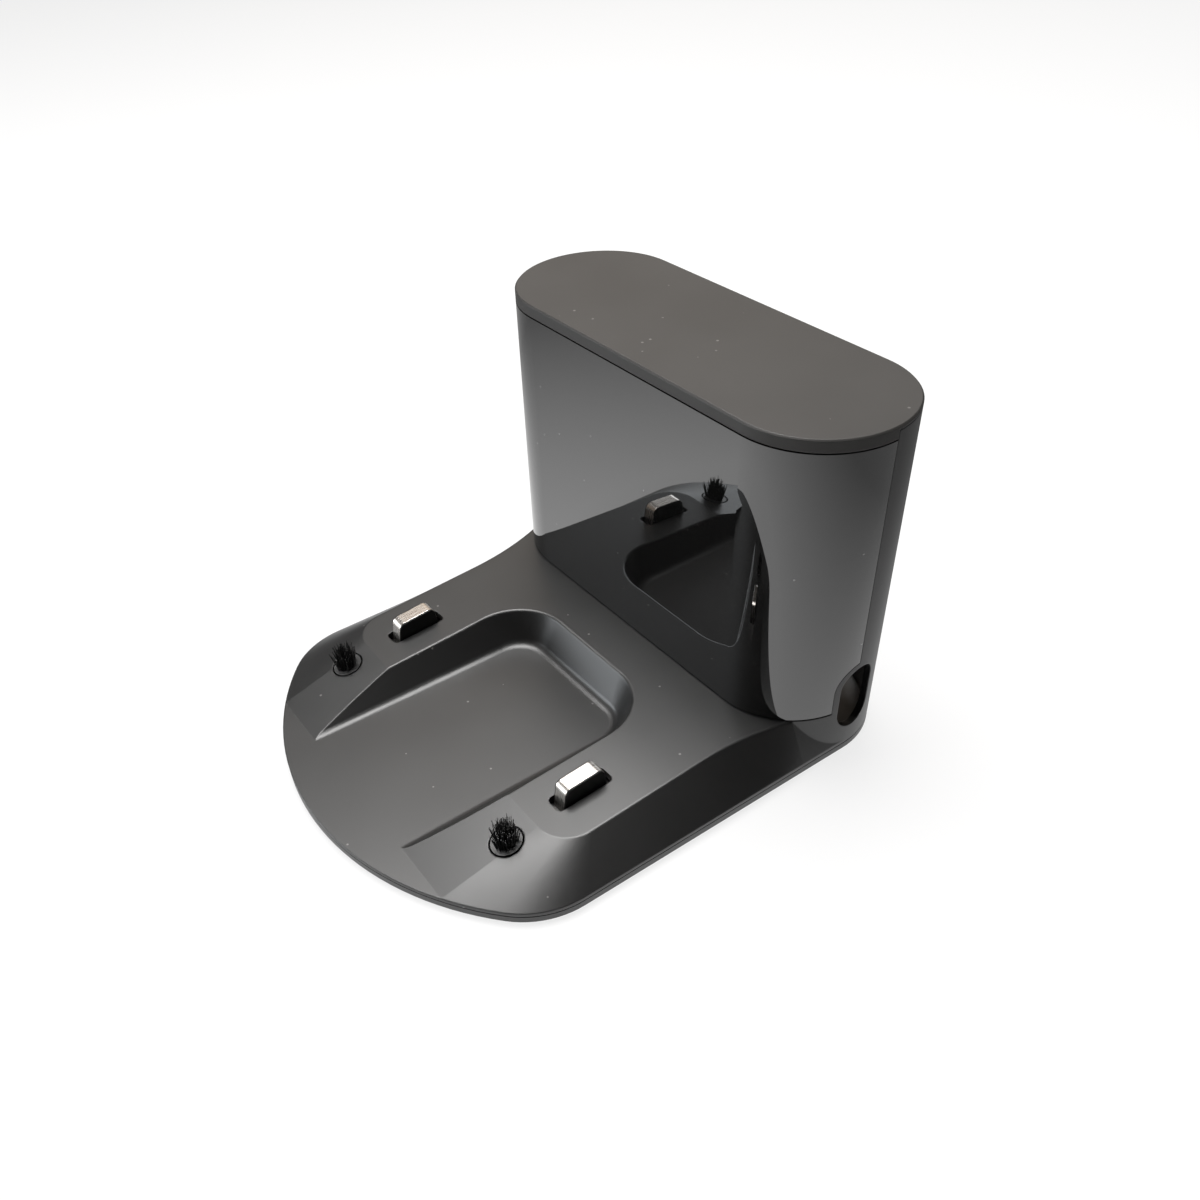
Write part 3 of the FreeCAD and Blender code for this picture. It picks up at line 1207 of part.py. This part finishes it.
fill_sheet()
SUB_PARTS = [
    make_housing(),
    make_top_cover(),
    make_front_window(),
    make_bottom_plate(),
    make_housing_screws(),
    make_ballast(),
    make_main_board(),
    make_board_screws(),
    make_transformer(),
    make_capacitor(),
    make_choke(),
    make_fuse(),
    make_chip(),
    make_signal_board(),
    make_emitters(),
    make_power_inlet(),
    make_inlet_pins(),
]
SUB_PARTS += [make_foot(name, x, y) for name, x, y in foot_places()]
for side, sign in (("left", "-"), ("right", "")):
    contact_x = f"({sign}{CONTACT_X})"
    brush_x = f"({sign}{BRUSH_X})"
    SUB_PARTS += [
        make_contact_carrier(side, contact_x),
        make_contact_strip(side, contact_x),
        make_contact_holder(side, contact_x),
        make_contact_spring(side, contact_x),
        make_contact_lead(side, sign),
        make_brush_plug(side, brush_x),
        make_brush_tuft(side, brush_x),
    ]
document.recompute()
check_and_write()
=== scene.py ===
"""Charging dock for a robot vacuum cleaner: finishes, bristles, springs, light and camera."""
import math
import bpy
from mathutils import Matrix, Vector


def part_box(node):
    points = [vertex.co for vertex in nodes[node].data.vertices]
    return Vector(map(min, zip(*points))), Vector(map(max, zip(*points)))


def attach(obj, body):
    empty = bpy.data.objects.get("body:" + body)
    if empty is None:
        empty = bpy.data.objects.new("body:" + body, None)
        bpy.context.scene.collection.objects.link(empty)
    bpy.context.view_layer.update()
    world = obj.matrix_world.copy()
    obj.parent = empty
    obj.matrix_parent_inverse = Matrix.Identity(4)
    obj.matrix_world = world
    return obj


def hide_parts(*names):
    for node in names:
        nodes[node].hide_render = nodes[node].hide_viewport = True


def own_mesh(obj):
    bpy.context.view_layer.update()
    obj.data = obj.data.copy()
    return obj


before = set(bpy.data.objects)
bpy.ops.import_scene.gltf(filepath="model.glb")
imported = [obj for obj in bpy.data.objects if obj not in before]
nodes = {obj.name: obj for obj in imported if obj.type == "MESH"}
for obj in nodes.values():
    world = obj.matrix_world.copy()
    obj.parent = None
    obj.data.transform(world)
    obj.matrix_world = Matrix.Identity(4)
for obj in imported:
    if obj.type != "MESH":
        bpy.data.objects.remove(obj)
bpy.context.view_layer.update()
SIDES = ("left", "right")
MM = 0.001
# First input, second input and output of a mix node, for each kind of value
MIX_SOCKETS = {"FLOAT": (2, 3, 0), "RGBA": (6, 7, 2)}
# Range that most values of a noise texture lie in
NOISE_LOW, NOISE_HIGH = 0.3, 0.7


# Node helpers

def new_material(name):
    """Material with an empty node tree that holds one Principled shader."""
    material = bpy.data.materials.new(name)
    material.use_nodes = True
    tree = material.node_tree
    tree.nodes.clear()
    output = tree.nodes.new("ShaderNodeOutputMaterial")
    shader = tree.nodes.new("ShaderNodeBsdfPrincipled")
    tree.links.new(shader.outputs["BSDF"], output.inputs["Surface"])
    return material, tree, shader


def give(tree, socket, value):
    """Links a socket to another, or sets its value."""
    if isinstance(value, bpy.types.NodeSocket):
        tree.links.new(value, socket)
    else:
        socket.default_value = value


def place(tree, kind, inputs=None, **settings):
    """Adds a node, gives it its settings, and sets or links its inputs."""
    node = tree.nodes.new(kind)
    for key, value in settings.items():
        setattr(node, key, value)
    for key, value in (inputs or {}).items():
        give(tree, node.inputs[key], value)
    return node


def calculate(tree, operation, *values):
    """Result of a math node."""
    return place(tree, "ShaderNodeMath", dict(enumerate(values)), operation=operation).outputs[0]


def object_point(tree, stretch=(1, 1, 1)):
    """Point of the piece in metres, stretched along its axes."""
    where = place(tree, "ShaderNodeTexCoord")
    moved = place(tree, "ShaderNodeMapping", {"Vector": where.outputs["Object"], "Scale": stretch})
    return moved.outputs["Vector"]


def ramp(tree, value, low, high, low_to=0.0, high_to=1.0):
    """Value moved from one range to another, and held at its ends."""
    node = place(tree, "ShaderNodeMapRange", {"Value": value, "From Min": low, "From Max": high,
                                              "To Min": low_to, "To Max": high_to})
    return node.outputs["Result"]


def mixed(tree, share, first, second, kind="RGBA"):
    """Colour between two colours, or with kind FLOAT a number between two numbers."""
    low, high, result = MIX_SOCKETS[kind]
    node = place(tree, "ShaderNodeMix", {0: share, low: first, high: second}, data_type=kind)
    return node.outputs[result]


def grey(level, warmth=0.0):
    """Grey of one linear level, with a little red added and blue taken away."""
    return (level * (1 + warmth), level, level * (1 - warmth), 1)


# Shared effects

def make_group(name, inputs, outputs):
    """Shader node group with named inputs and outputs."""
    group = bpy.data.node_groups.new(name, "ShaderNodeTree")
    for label, kind, value in inputs:
        socket = group.interface.new_socket(label, in_out="INPUT", socket_type=kind)
        if value is not None:
            socket.default_value = value
    for label, kind in outputs:
        group.interface.new_socket(label, in_out="OUTPUT", socket_type=kind)
    return group, group.nodes.new("NodeGroupInput"), group.nodes.new("NodeGroupOutput")


def make_moulded_grain():
    """Spark-eroded texture of a moulded face: fine bumps, and a slow change of gloss."""
    group, given, made = make_group(
        "moulded_grain",
        [("Point", "NodeSocketVector", None), ("Grain Scale", "NodeSocketFloat", 4200.0),
         ("Gloss Change", "NodeSocketFloat", 0.06), ("Roughness", "NodeSocketFloat", 0.45)],
        [("Height", "NodeSocketFloat"), ("Roughness", "NodeSocketFloat"),
         ("Clouds", "NodeSocketFloat")])
    fine = place(group, "ShaderNodeTexNoise", {
        "Vector": given.outputs["Point"], "Scale": given.outputs["Grain Scale"], "Detail": 2.0})
    slow = place(group, "ShaderNodeTexNoise", {
        "Vector": given.outputs["Point"], "Scale": 38.0, "Detail": 3.0})
    centred = calculate(group, "SUBTRACT", slow.outputs["Fac"], 0.5)
    change = calculate(group, "MULTIPLY_ADD", centred, given.outputs["Gloss Change"],
                       given.outputs["Roughness"])
    group.links.new(fine.outputs["Fac"], made.inputs["Height"])
    group.links.new(change, made.inputs["Roughness"])
    group.links.new(slow.outputs["Fac"], made.inputs["Clouds"])
    return group


def make_dust():
    """Mask of sparse specks of dust."""
    bare_share = 0.86
    group, given, made = make_group(
        "dust_specks",
        [("Point", "NodeSocketVector", None), ("Speck Size", "NodeSocketFloat", 0.09),
         ("Density", "NodeSocketFloat", 260.0)],
        [("Mask", "NodeSocketFloat")])
    cells = place(group, "ShaderNodeTexVoronoi", {"Vector": given.outputs["Point"],
                                                  "Scale": given.outputs["Density"]})
    speck = calculate(group, "LESS_THAN", cells.outputs["Distance"], given.outputs["Speck Size"])
    parts = place(group, "ShaderNodeSeparateColor", {"Color": cells.outputs["Color"]})
    kept = calculate(group, "GREATER_THAN", parts.outputs["Red"], bare_share)
    group.links.new(calculate(group, "MULTIPLY", speck, kept), made.inputs["Mask"])
    return group


def make_drawn_lines():
    """Fine lines that rolling or drawing leaves along a metal strip."""
    group, given, made = make_group(
        "drawn_lines",
        [("Point", "NodeSocketVector", None), ("Line Scale", "NodeSocketFloat", 9000.0)],
        [("Height", "NodeSocketFloat")])
    lines = place(group, "ShaderNodeTexNoise", {
        "Vector": given.outputs["Point"], "Scale": given.outputs["Line Scale"], "Detail": 2.0})
    group.links.new(lines.outputs["Fac"], made.inputs["Height"])
    return group


MOULDED_GRAIN = make_moulded_grain()
DUST_SPECKS = make_dust()
DRAWN_LINES = make_drawn_lines()


def use(tree, group, **inputs):
    """Adds a shared effect. Underscores in its inputs' names stand for spaces."""
    node = tree.nodes.new("ShaderNodeGroup")
    node.node_tree = group
    for key, value in inputs.items():
        give(tree, node.inputs[key.replace("_", " ")], value)
    return node


# Finishes

def soften(tree, texture, crease):
    """Rounds the look of sharp edges and flat facets by a crease radius."""
    if crease:
        rounded = place(tree, "ShaderNodeBevel", {"Radius": crease}, samples=6)
        tree.links.new(rounded.outputs["Normal"], texture.inputs["Normal"])


def moulded(name, level, warmth, roughness, bump=0.12, grain=4200.0, dust=0.0, specular=0.5,
            crease=0.0):
    """Textured moulded plastic."""
    material, tree, shader = new_material(name)
    point = object_point(tree)
    face = use(tree, MOULDED_GRAIN, Point=point, Grain_Scale=grain, Roughness=roughness)
    colour = mixed(tree, ramp(tree, face.outputs["Clouds"], 0.35, 0.65), grey(level * 0.92, warmth),
                   grey(level * 1.08, warmth))
    if dust:
        specks = use(tree, DUST_SPECKS, Point=point)
        share = calculate(tree, "MULTIPLY", specks.outputs["Mask"], dust)
        colour = mixed(tree, share, colour, grey(0.35, 0.04))
    texture = place(tree, "ShaderNodeBump", {"Height": face.outputs["Height"], "Strength": bump,
                                             "Distance": 0.05 * MM})
    soften(tree, texture, crease)
    tree.links.new(colour, shader.inputs["Base Color"])
    tree.links.new(face.outputs["Roughness"], shader.inputs["Roughness"])
    tree.links.new(texture.outputs["Normal"], shader.inputs["Normal"])
    shader.inputs["Specular IOR Level"].default_value = specular
    return material


def polished_window(name):
    """Dark polished panel with a clear coat and dust."""
    material, tree, shader = new_material(name)
    point = object_point(tree)
    clouds = place(tree, "ShaderNodeTexNoise", {"Vector": point, "Scale": 30.0, "Detail": 2.0})
    colour = mixed(tree, clouds.outputs["Fac"], grey(0.003, 0.02), grey(0.005, 0.02))
    specks = use(tree, DUST_SPECKS, Point=point, Speck_Size=0.065)
    share = calculate(tree, "MULTIPLY", specks.outputs["Mask"], 0.5)
    colour = mixed(tree, share, colour, grey(0.4))
    gloss = ramp(tree, clouds.outputs["Fac"], NOISE_LOW, NOISE_HIGH, 0.012, 0.03)
    tree.links.new(colour, shader.inputs["Base Color"])
    tree.links.new(gloss, shader.inputs["Roughness"])
    shader.inputs["IOR"].default_value = 1.9
    shader.inputs["Coat Weight"].default_value = 0.7
    shader.inputs["Coat Roughness"].default_value = 0.015
    return material


def plated(name, level, warmth, roughness, stretch=(1, 1, 1), crease=0.0):
    """Plated or bright metal with drawn lines."""
    material, tree, shader = new_material(name)
    point = object_point(tree, stretch)
    lines = use(tree, DRAWN_LINES, Point=point)
    colour = mixed(tree, lines.outputs["Height"], grey(level * 0.85, warmth), grey(level, warmth))
    texture = place(tree, "ShaderNodeBump", {"Height": lines.outputs["Height"], "Strength": 0.1,
                                             "Distance": 0.02 * MM})
    soften(tree, texture, crease)
    gloss = ramp(tree, lines.outputs["Height"], NOISE_LOW, NOISE_HIGH, roughness * 0.8,
                 roughness * 1.2)
    tree.links.new(colour, shader.inputs["Base Color"])
    tree.links.new(texture.outputs["Normal"], shader.inputs["Normal"])
    tree.links.new(gloss, shader.inputs["Roughness"])
    shader.inputs["Metallic"].default_value = 1.0
    return material


def tinted(name, dark, light, roughness, scale=600.0):
    """Plain coloured piece inside the dock, with a mottled surface."""
    material, tree, shader = new_material(name)
    noise = place(tree, "ShaderNodeTexNoise", {"Vector": object_point(tree), "Scale": scale,
                                               "Detail": 3.0})
    texture = place(tree, "ShaderNodeBump", {"Height": noise.outputs["Fac"], "Strength": 0.1,
                                             "Distance": 0.05 * MM})
    gloss = ramp(tree, noise.outputs["Fac"], NOISE_LOW, NOISE_HIGH, roughness * 0.85,
                 roughness * 1.15)
    tree.links.new(mixed(tree, noise.outputs["Fac"], dark, light), shader.inputs["Base Color"])
    tree.links.new(texture.outputs["Normal"], shader.inputs["Normal"])
    tree.links.new(gloss, shader.inputs["Roughness"])
    return material


ALONG_Y = (1, 0.02, 0.02)
BOARD_DARK, BOARD_LIGHT = (0.01, 0.09, 0.03, 1), (0.02, 0.14, 0.05, 1)
finishes = {
    "housing": moulded("satin_charcoal", 0.011, 0.0, 0.39, dust=0.4, specular=0.75,
                       crease=0.5 * MM),
    "top_cover": moulded("matte_charcoal", 0.026, 0.06, 0.50, dust=0.3, crease=0.3 * MM),
    "front_window": polished_window("polished_panel"),
    "bottom_plate": moulded("satin_base", 0.03, 0.0, 0.4, specular=0.7),
    "housing_screws": plated("black_steel", 0.3, 0.0, 0.4),
    "ballast_plate": plated("zinc_sheet", 0.5, 0.0, 0.45),
    "main_board": tinted("green_board", BOARD_DARK, BOARD_LIGHT, 0.4),
    "board_screws": plated("bright_screw", 0.55, 0.0, 0.35),
    "transformer": tinted("wound_core", (0.01, 0.009, 0.007, 1), (0.03, 0.026, 0.018, 1), 0.6,
                          scale=900.0),
    "smoothing_capacitor": tinted("black_sleeve", (0.012, 0.012, 0.016, 1),
                                  (0.03, 0.03, 0.035, 1), 0.25),
    "filter_choke": tinted("coated_ferrite", (0.06, 0.1, 0.07, 1), (0.1, 0.16, 0.11, 1), 0.5),
    "mains_fuse": tinted("glazed_tube", (0.6, 0.58, 0.5, 1), (0.72, 0.7, 0.63, 1), 0.2),
    "control_chip": tinted("chip_case", (0.015, 0.015, 0.015, 1), (0.03, 0.03, 0.03, 1), 0.45),
    "signal_board": tinted("green_signal_board", BOARD_DARK, BOARD_LIGHT, 0.4),
    "infrared_emitters": tinted("dark_resin", (0.02, 0.012, 0.025, 1), (0.05, 0.03, 0.06, 1), 0.1),
    "power_inlet": moulded("inlet_black", 0.015, 0.0, 0.4),
    "inlet_pins": plated("inlet_brass", 0.6, 0.15, 0.25),
}
rubber = moulded("foot_rubber", 0.025, 0.0, 0.8, bump=0.3, grain=2600.0)
for corner in ("front_left", "front_right", "rear_left", "rear_right"):
    finishes["rubber_foot_" + corner] = rubber
side_finishes = {
    "contact_carrier": moulded("carrier_black", 0.008, 0.0, 0.34, crease=0.4 * MM),
    "contact_strip": plated("nickel_strip", 0.84, 0.06, 0.27, ALONG_Y, crease=0.3 * MM),
    "contact_holder": moulded("holder_black", 0.015, 0.0, 0.5),
    "contact_spring": plated("spring_wire", 0.6, 0.0, 0.25),
    "contact_lead": tinted("red_sleeve", (0.3, 0.02, 0.015, 1), (0.42, 0.035, 0.025, 1), 0.5),
    "brush_plug": moulded("plug_grey", 0.018, 0.0, 0.43, specular=0.7),
}
bristle_black = tinted("black_nylon", (0.004, 0.004, 0.004, 1), (0.02, 0.02, 0.02, 1), 0.35,
                       scale=3000.0)
for side in SIDES:
    for stem, finish in side_finishes.items():
        finishes[f"{stem}_{side}"] = finish
    finishes[f"brush_tuft_{side}"] = bristle_black

for name, finish in finishes.items():
    slots = nodes[name].data.materials
    slots.clear()
    slots.append(finish)


# Bristles

BRISTLE_SIDES = 5
BRISTLE_TIP = 0.3
BRISTLE_SWAY = 0.8
TUFT_DOME = 0.2
SHORTEST_BRISTLE = 0.66
TUFT_MARGIN = 0.6 * MM
BRISTLE_SETTINGS = {"Bristles": 190, "Bristle Radius": 0.26 * MM, "Foot Radius": 2.2 * MM}
TUFT_SEEDS = {"left": 11, "right": 18}


def bristle_tree():
    """Bristles that stand on a disc and spread towards their tips."""
    tree = bpy.data.node_groups.new("bristle_tuft", "GeometryNodeTree")
    for label in ("Foot Radius", "Tip Radius", "Length", "Bristle Radius"):
        tree.interface.new_socket(label, in_out="INPUT", socket_type="NodeSocketFloat")
    for label in ("Bristles", "Seed"):
        tree.interface.new_socket(label, in_out="INPUT", socket_type="NodeSocketInt")
    tree.interface.new_socket("Geometry", in_out="OUTPUT", socket_type="NodeSocketGeometry")
    given = tree.nodes.new("NodeGroupInput").outputs
    made = tree.nodes.new("NodeGroupOutput")

    def math_node(operation, *values):
        return calculate(tree, operation, *values)

    def random(low, high, offset):
        # Inputs 2 and 3 and output 1 of this node are the ones for numbers
        seed = math_node("ADD", given["Seed"], offset)
        node = place(tree, "FunctionNodeRandomValue", {2: low, 3: high}, data_type="FLOAT")
        tree.links.new(seed, node.inputs["Seed"])
        return node.outputs[1]

    turn = random(0.0, 2 * math.pi, 1)
    share = math_node("SQRT", random(0.0, 1.0, 2))
    reach = math_node("MULTIPLY", share, given["Foot Radius"])
    widening = math_node("SUBTRACT", given["Tip Radius"], given["Foot Radius"])
    spread = math_node("MULTIPLY", widening, share)
    sway = math_node("MULTIPLY", given["Foot Radius"], random(-BRISTLE_SWAY, BRISTLE_SWAY, 3))
    lean = math_node("MULTIPLY", given["Foot Radius"], random(-BRISTLE_SWAY, BRISTLE_SWAY, 4))
    cosine, sine = math_node("COSINE", turn), math_node("SINE", turn)
    foot = place(tree, "ShaderNodeCombineXYZ", {"X": math_node("MULTIPLY", cosine, reach),
                                                "Y": math_node("MULTIPLY", sine, reach)})
    way = place(tree, "ShaderNodeCombineXYZ", {
        "X": math_node("ADD", math_node("MULTIPLY", cosine, spread), sway),
        "Y": math_node("ADD", math_node("MULTIPLY", sine, spread), lean),
        "Z": given["Length"]})
    points = place(tree, "GeometryNodePoints", {"Count": given["Bristles"],
                                                "Position": foot.outputs[0]})
    bristle = place(tree, "GeometryNodeMeshCone", {
        "Vertices": BRISTLE_SIDES, "Radius Top": BRISTLE_TIP, "Radius Bottom": 1.0, "Depth": 1.0})
    stand = place(tree, "FunctionNodeAlignEulerToVector", {"Vector": way.outputs[0]}, axis="Z")
    fall = math_node("MULTIPLY", math_node("MULTIPLY", share, share), TUFT_DOME)
    dome = math_node("SUBTRACT", 1.0, fall)
    height = math_node("MULTIPLY", math_node("MULTIPLY", given["Length"], dome),
                       random(SHORTEST_BRISTLE, 1.0, 5))
    size = place(tree, "ShaderNodeCombineXYZ", {
        "X": given["Bristle Radius"], "Y": given["Bristle Radius"], "Z": height})
    placed = place(tree, "GeometryNodeInstanceOnPoints", {
        "Points": points.outputs[0], "Instance": bristle.outputs["Mesh"],
        "Rotation": stand.outputs[0], "Scale": size.outputs[0]})
    real = place(tree, "GeometryNodeRealizeInstances", {"Geometry": placed.outputs[0]})
    coated = place(tree, "GeometryNodeSetMaterial", {"Geometry": real.outputs[0],
                                                     "Material": bristle_black})
    tree.links.new(coated.outputs[0], made.inputs[0])
    return tree


BRISTLE_TREE = bristle_tree()


def make_tuft(side):
    """Loose bristles in place of the solid tuft."""
    low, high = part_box(f"brush_tuft_{side}")
    middle = (low + high) / 2
    sizes = {**BRISTLE_SETTINGS, "Seed": TUFT_SEEDS[side],
             "Tip Radius": (high.x - low.x) / 2 - TUFT_MARGIN, "Length": high.z - low.z}
    blank = bpy.data.meshes.new(f"bristles_{side}_start")
    holder = bpy.data.objects.new(f"bristles_{side}_start", blank)
    bpy.context.scene.collection.objects.link(holder)
    modifier = holder.modifiers.new("tuft", "NODES")
    modifier.node_group = BRISTLE_TREE
    for item in BRISTLE_TREE.interface.items_tree:
        if item.item_type == "SOCKET" and item.in_out == "INPUT":
            modifier[item.identifier] = sizes[item.name]
    graph = bpy.context.evaluated_depsgraph_get()
    mesh = bpy.data.meshes.new_from_object(holder.evaluated_get(graph))
    bpy.data.objects.remove(holder)
    mesh.transform(Matrix.Translation((middle.x, middle.y, low.z)))
    tuft = bpy.data.objects.new(f"bristles_{side}", mesh)
    bpy.context.scene.collection.objects.link(tuft)
    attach(tuft, "dock")
    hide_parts(f"brush_tuft_{side}")


# Contact springs

SPRING_WIRE = 0.2 * MM
SPRING_TURNS = 3.5
SPRING_STEPS = 112
WIRE_SIDES = 10


def make_spring(side):
    """Round-wire coil in place of the solid spring."""
    low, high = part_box(f"contact_spring_{side}")
    middle = (low + high) / 2
    radius = (high.y - low.y) / 2 - SPRING_WIRE
    foot, head = low.z + SPRING_WIRE, high.z - SPRING_WIRE
    points = []
    for step in range(SPRING_STEPS + 1):
        share = step / SPRING_STEPS
        turn = 2 * math.pi * SPRING_TURNS * share
        outward = Vector((math.cos(turn), math.sin(turn), 0))
        centre = Vector((middle.x, middle.y, foot + (head - foot) * share)) + outward * radius
        for corner in range(WIRE_SIDES):
            angle = 2 * math.pi * corner / WIRE_SIDES
            points.append(centre + outward * (SPRING_WIRE * math.cos(angle))
                          + Vector((0, 0, SPRING_WIRE * math.sin(angle))))
    last = SPRING_STEPS * WIRE_SIDES
    faces = [tuple(range(WIRE_SIDES)), tuple(reversed(range(last, last + WIRE_SIDES)))]
    for start in range(0, last, WIRE_SIDES):
        for corner in range(WIRE_SIDES):
            first, second = start + corner, start + (corner + 1) % WIRE_SIDES
            faces.append((first, first + WIRE_SIDES, second + WIRE_SIDES, second))
    mesh = bpy.data.meshes.new(f"spring_coil_{side}")
    mesh.from_pydata(points, [], faces)
    mesh.update()
    mesh.materials.append(finishes[f"contact_spring_{side}"])
    coil = bpy.data.objects.new(f"spring_coil_{side}", mesh)
    bpy.context.scene.collection.objects.link(coil)
    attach(coil, "dock")
    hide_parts(f"contact_spring_{side}")
    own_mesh(coil)


for side in SIDES:
    make_tuft(side)
for side in SIDES:
    make_spring(side)


# Floor, light and camera

def make_floor():
    """Plain pale floor, white to the camera, with a painted pool of light for reflections: its
    mirrored light falls away from the dock.
    """
    half = 3.0
    below_feet = 0.2 * MM
    camera_share = 0.8
    brightest = (0.0, -0.03, 0)
    near, far = 0.08, 0.24
    near_strength, far_strength = 1.0, 0.3
    mesh = bpy.data.meshes.new("floor")
    mesh.from_pydata([(-half, -half, 0), (half, -half, 0), (half, half, 0), (-half, half, 0)], [],
                     [(0, 1, 2, 3)])
    floor = bpy.data.objects.new("floor", mesh)
    floor.location.z = -below_feet
    bpy.context.scene.collection.objects.link(floor)
    material, tree, shader = new_material("pale_floor")
    shader.inputs["Base Color"].default_value = grey(0.85)
    shader.inputs["Roughness"].default_value = 0.9
    shader.inputs["Specular IOR Level"].default_value = 0.1
    path = place(tree, "ShaderNodeLightPath")
    point = place(tree, "ShaderNodeTexCoord").outputs["Object"]
    # Painted pool of light: glossy rays see the floor glow brightest near the dock and dimmer
    # further away
    away = place(tree, "ShaderNodeVectorMath", {0: point, 1: brightest}, operation="DISTANCE")
    mirrored = ramp(tree, away.outputs["Value"], near, far, near_strength, far_strength)
    level = mixed(tree, path.outputs["Is Glossy Ray"], 1.0, mirrored, "FLOAT")
    white = place(tree, "ShaderNodeEmission", {"Color": grey(1.0), "Strength": level})
    seen = calculate(tree, "MULTIPLY_ADD", path.outputs["Is Camera Ray"], camera_share,
                     path.outputs["Is Glossy Ray"])
    blend = place(tree, "ShaderNodeMixShader", {0: seen})
    tree.links.new(shader.outputs["BSDF"], blend.inputs[1])
    tree.links.new(white.outputs[0], blend.inputs[2])
    output = next(node for node in tree.nodes if node.type == "OUTPUT_MATERIAL")
    tree.links.new(blend.outputs[0], output.inputs["Surface"])
    mesh.materials.append(material)


def make_world():
    """White to the camera. Glossy rays see a dim room with a glow at its front left."""
    dim, bright = 0.05, 0.5
    glow_edge, glow_core = 0.766, 0.966
    world = bpy.data.worlds.new("studio")
    bpy.context.scene.world = world
    world.use_nodes = True
    tree = world.node_tree
    tree.nodes.clear()
    path = place(tree, "ShaderNodeLightPath")
    toward = place(tree, "ShaderNodeTexCoord").outputs["Generated"]
    pale_side = Vector((-0.62, -0.75, 0.2)).normalized()
    facing = place(tree, "ShaderNodeVectorMath", {0: toward, 1: pale_side}, operation="DOT_PRODUCT")
    glow = ramp(tree, facing.outputs["Value"], glow_edge, glow_core, dim, bright)
    level = mixed(tree, path.outputs["Is Glossy Ray"], dim, glow, "FLOAT")
    room = place(tree, "ShaderNodeBackground", {"Color": grey(1.0, 0.03), "Strength": level})
    white = place(tree, "ShaderNodeBackground", {"Color": grey(1.0), "Strength": 1.0})
    blend = place(tree, "ShaderNodeMixShader", {0: path.outputs["Is Camera Ray"]})
    tree.links.new(room.outputs[0], blend.inputs[1])
    tree.links.new(white.outputs[0], blend.inputs[2])
    output = place(tree, "ShaderNodeOutputWorld")
    tree.links.new(blend.outputs[0], output.inputs["Surface"])


def make_lamp(name, position, target, size, power, colour):
    """Softbox in watts that points at its target."""
    lamp = bpy.data.lights.new(name, "AREA")
    lamp.shape = "RECTANGLE"
    lamp.size, lamp.size_y = size
    lamp.energy = power
    lamp.color = colour
    item = bpy.data.objects.new(name, lamp)
    bpy.context.scene.collection.objects.link(item)
    item.location = position
    item.rotation_euler = (Vector(target) - Vector(position)).to_track_quat("-Z", "Y").to_euler()


def make_camera():
    """Camera at the viewing angle of the photo, whose frame is 1200 by 1200."""
    frame_width = 1200
    sensor = 36.0
    focal_pixels = 1109.59
    middle_x, middle_y = 561.05, 687.32
    azimuth, elevation, roll = (math.radians(angle) for angle in (57.10, 41.69, -3.68))
    distance = 404.50 * MM
    target = Vector((-50.35, 36.73, -49.82)) * MM
    back = Vector((math.sin(azimuth) * math.cos(elevation),
                   -math.cos(azimuth) * math.cos(elevation),
                   math.sin(elevation)))
    level = (-back).cross(Vector((0, 0, 1))).normalized()
    upright = level.cross(-back)
    right = level * math.cos(roll) + upright * math.sin(roll)
    up = upright * math.cos(roll) - level * math.sin(roll)
    lens = bpy.data.cameras.new("camera")
    lens.sensor_width = sensor
    lens.lens = focal_pixels / frame_width * sensor
    lens.shift_x = (frame_width / 2 - middle_x) / frame_width
    lens.shift_y = (middle_y - frame_width / 2) / frame_width
    lens.clip_start, lens.clip_end = 0.01, 20
    camera = bpy.data.objects.new("camera", lens)
    bpy.context.scene.collection.objects.link(camera)
    turned = Matrix((right, up, back)).transposed().to_4x4()
    camera.matrix_world = Matrix.Translation(target + back * distance) @ turned
    bpy.context.scene.camera = camera


# Name, position, target, size, power and colour of each lamp
LAMPS = [
    ("overhead_softbox", (-0.24, 0.08, 0.97), (0, 0, 0.02), (0.76, 0.56), 18.0, (1, 0.99, 0.98)),
    ("rear_softbox", (-0.83, 0.72, 0.45), (0, 0, 0.05), (0.9, 0.5), 0.8, (1, 0.86, 0.72)),
    ("rear_upper_softbox", (-0.64, 0.42, 0.66), (0, 0, 0.02), (0.6, 0.35), 0.28, (1, 0.8, 0.62)),
    ("front_softbox", (-0.62, -0.80, 0.16), (0, 0, 0.03), (0.6, 0.3), 5.0, (0.91, 0.96, 1)),
]

make_floor()
make_world()
for lamp_settings in LAMPS:
    make_lamp(*lamp_settings)
make_camera()
bpy.context.scene.view_settings.view_transform = "Standard"
